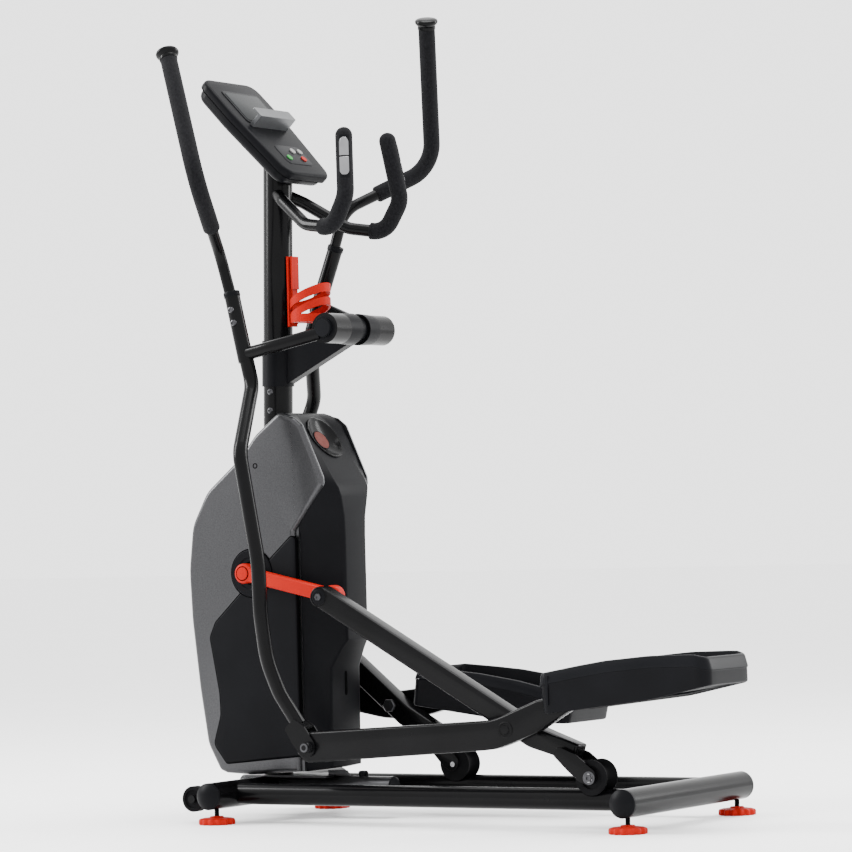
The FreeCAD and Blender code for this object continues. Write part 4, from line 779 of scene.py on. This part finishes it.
def build_wheel(label, side, link):
    """The rail wheel's axle bolt and its washer on the fork."""
    centre = (link["wheel"][0], side * 0.1845, link["wheel"][1])
    revolve(label + "_axle_washer", [(0.0125, 0.0), (0.0125, 0.0011), (0.0085, 0.0012)], centre,
            (0, side, 0), "steel", label + "_carrier", "dark_bolt", seg=32)
    revolve(label + "_axle_bolt", [(0.0082, 0.001), (0.0082, 0.0042), (0.0072, 0.0054), (0.0036, 0.0056),
                                   (0.0032, 0.0036)], centre, (0, side, 0), "steel", label + "_carrier",
            "dark_bolt", seg=6)


# --- base details ---------------------------------------------------------------------------------

def build_feet(label):
    """Lobed hand discs with dark threaded stems."""
    for end in ("front", "rear"):
        low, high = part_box("%s_%s_foot" % (label, end))
        x, y = (low[0] + high[0]) / 2, (low[1] + high[1]) / 2
        body = "%s_%s_leveller" % (label, end)
        disc = revolve("%s_%s_disc" % (label, end),
                       [(0.0336, 0.0), (0.0346, 0.0012), (0.0346, 0.0082), (0.0330, 0.0112),
                                                    (0.028, 0.0126), (0.014, 0.0140), (0.012, 0.0165),
                        (0.006, 0.0168)],
                       (x, y, 0.0), (0, 0, 1), "red_plastic", body, seg=96, lobes=(14, 0.055))
        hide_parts("%s_%s_foot" % (label, end))
        profile = [(0.005, 0.012)]
        for k in range(16):
            profile += [(0.0050, 0.0165 + k * 0.0018), (0.0044, 0.0174 + k * 0.0018)]
        profile.append((0.0044, 0.0500))
        revolve("%s_%s_stem" % (label, end), profile, (x, y, 0.0), (0, 0, 1), "red_plastic", body,
                "charcoal_plastic",
                seg=24)


def build_base():
    """The screw feet, the spine's end plug and its knob bolt."""
    for label in SIDES:
        build_feet(label)
    spot = at(264, 0, 60)
    revolve("spine_plug", [(0.0222, -0.002), (0.0222, 0.0012), (0.0205, 0.0026), (0.010, 0.0028)], spot,
            (1, 0, 0),
            "charcoal_plastic", "frame", "light_charcoal")
    revolve("spine_knob", [(0.0085, 0.0), (0.0098, 0.002), (0.0098, 0.008), (0.0078, 0.0105),
                           (0.003, 0.011)],
            at(193, 0, 82.8), (0, 0, 1), "charcoal_plastic", "frame")


# --- surroundings ---------------------------------------------------------------------------------

def build_floor():
    mesh = bpy.data.meshes.new("studio_floor")
    mesh.from_pydata([(-30, -30, 0), (30, -30, 0), (30, 30, 0), (-30, 30, 0)], [], [(0, 1, 2, 3)])
    floor = bpy.data.objects.new("studio_floor", mesh)
    bpy.context.scene.collection.objects.link(floor)
    mat = base_material("floor", (0.93, 0.93, 0.93), 0.55)
    grain(mat, 30, 0.0001, 3, (0.95, 0.95, 0.95))
    mesh.materials.append(mat)


def area(name, place, target, width, height, power):
    light = bpy.data.lights.new(name, "AREA")
    light.shape = "RECTANGLE"
    light.size, light.size_y, light.energy = width, height, power
    obj = bpy.data.objects.new(name, light)
    obj.location = place
    obj.rotation_euler = (Vector(target) - Vector(place)).to_track_quat("-Z", "Y").to_euler()
    bpy.context.scene.collection.objects.link(obj)


SKY = 2.7    # brightness of the even white surround


def build_studio():
    world = bpy.data.worlds.new("studio")
    bpy.context.scene.world = world
    world.use_nodes = True
    world.node_tree.nodes["Background"].inputs["Color"].default_value = (1.0, 1.0, 1.0, 1.0)
    world.node_tree.nodes["Background"].inputs["Strength"].default_value = SKY
    area("key", (-3.4, -1.6, 2.6), (0, 0, 0.8), 0.8, 2.6, 260)
    area("top", (0.4, 0.2, 4.2), (0, 0, 0.6), 2.4, 2.4, 200)
    area("rim", (2.6, 3.0, 2.2), (0, 0, 0.7), 0.8, 2.4, 160)


YAW, PITCH, ROLL = 31.1945, -1.3383, -1.535    # degrees
LENS, SENSOR = 164.92, 36.0    # mm
STAND = (4.3472, -6.5846, 0.5943)    # from the crank axle's X, the middle plane and the floor


def build_camera():
    """The camera's place and turn over the object."""
    yaw, pitch, roll = math.radians(YAW), math.radians(PITCH), math.radians(ROLL)
    forward = Vector((-math.sin(yaw) * math.cos(pitch), math.cos(yaw) * math.cos(pitch), -math.sin(pitch)))
    right = Vector((math.cos(yaw), math.sin(yaw), 0.0))
    up = right.cross(forward)
    side = right * math.cos(roll) + up * math.sin(roll)
    top = up * math.cos(roll) - right * math.sin(roll)
    data = bpy.data.cameras.new("camera")
    data.lens, data.sensor_width = LENS, SENSOR
    data.clip_end = 100.0
    camera = bpy.data.objects.new("camera", data)
    rows = [[side[i], top[i], -forward[i]] for i in range(3)]
    camera.matrix_world = Matrix.Translation((AXLE.x + STAND[0], STAND[1],
                                              STAND[2])) @ Matrix(rows).to_4x4()
    bpy.context.scene.collection.objects.link(camera)
    bpy.context.scene.camera = camera


build_camera()
dress_cad()
build_floor()
build_studio()
build_casing()
build_cover()
build_console()
build_pulse_plates()
for name, sign in SIDES.items():
    rest = linkage(name, sign)
    build_crank(name, sign)
    build_legs(name, sign, rest)
    build_pedal(name, sign, rest)
    build_arm(name, sign, rest)
    build_wheel(name, sign, rest)
build_base()
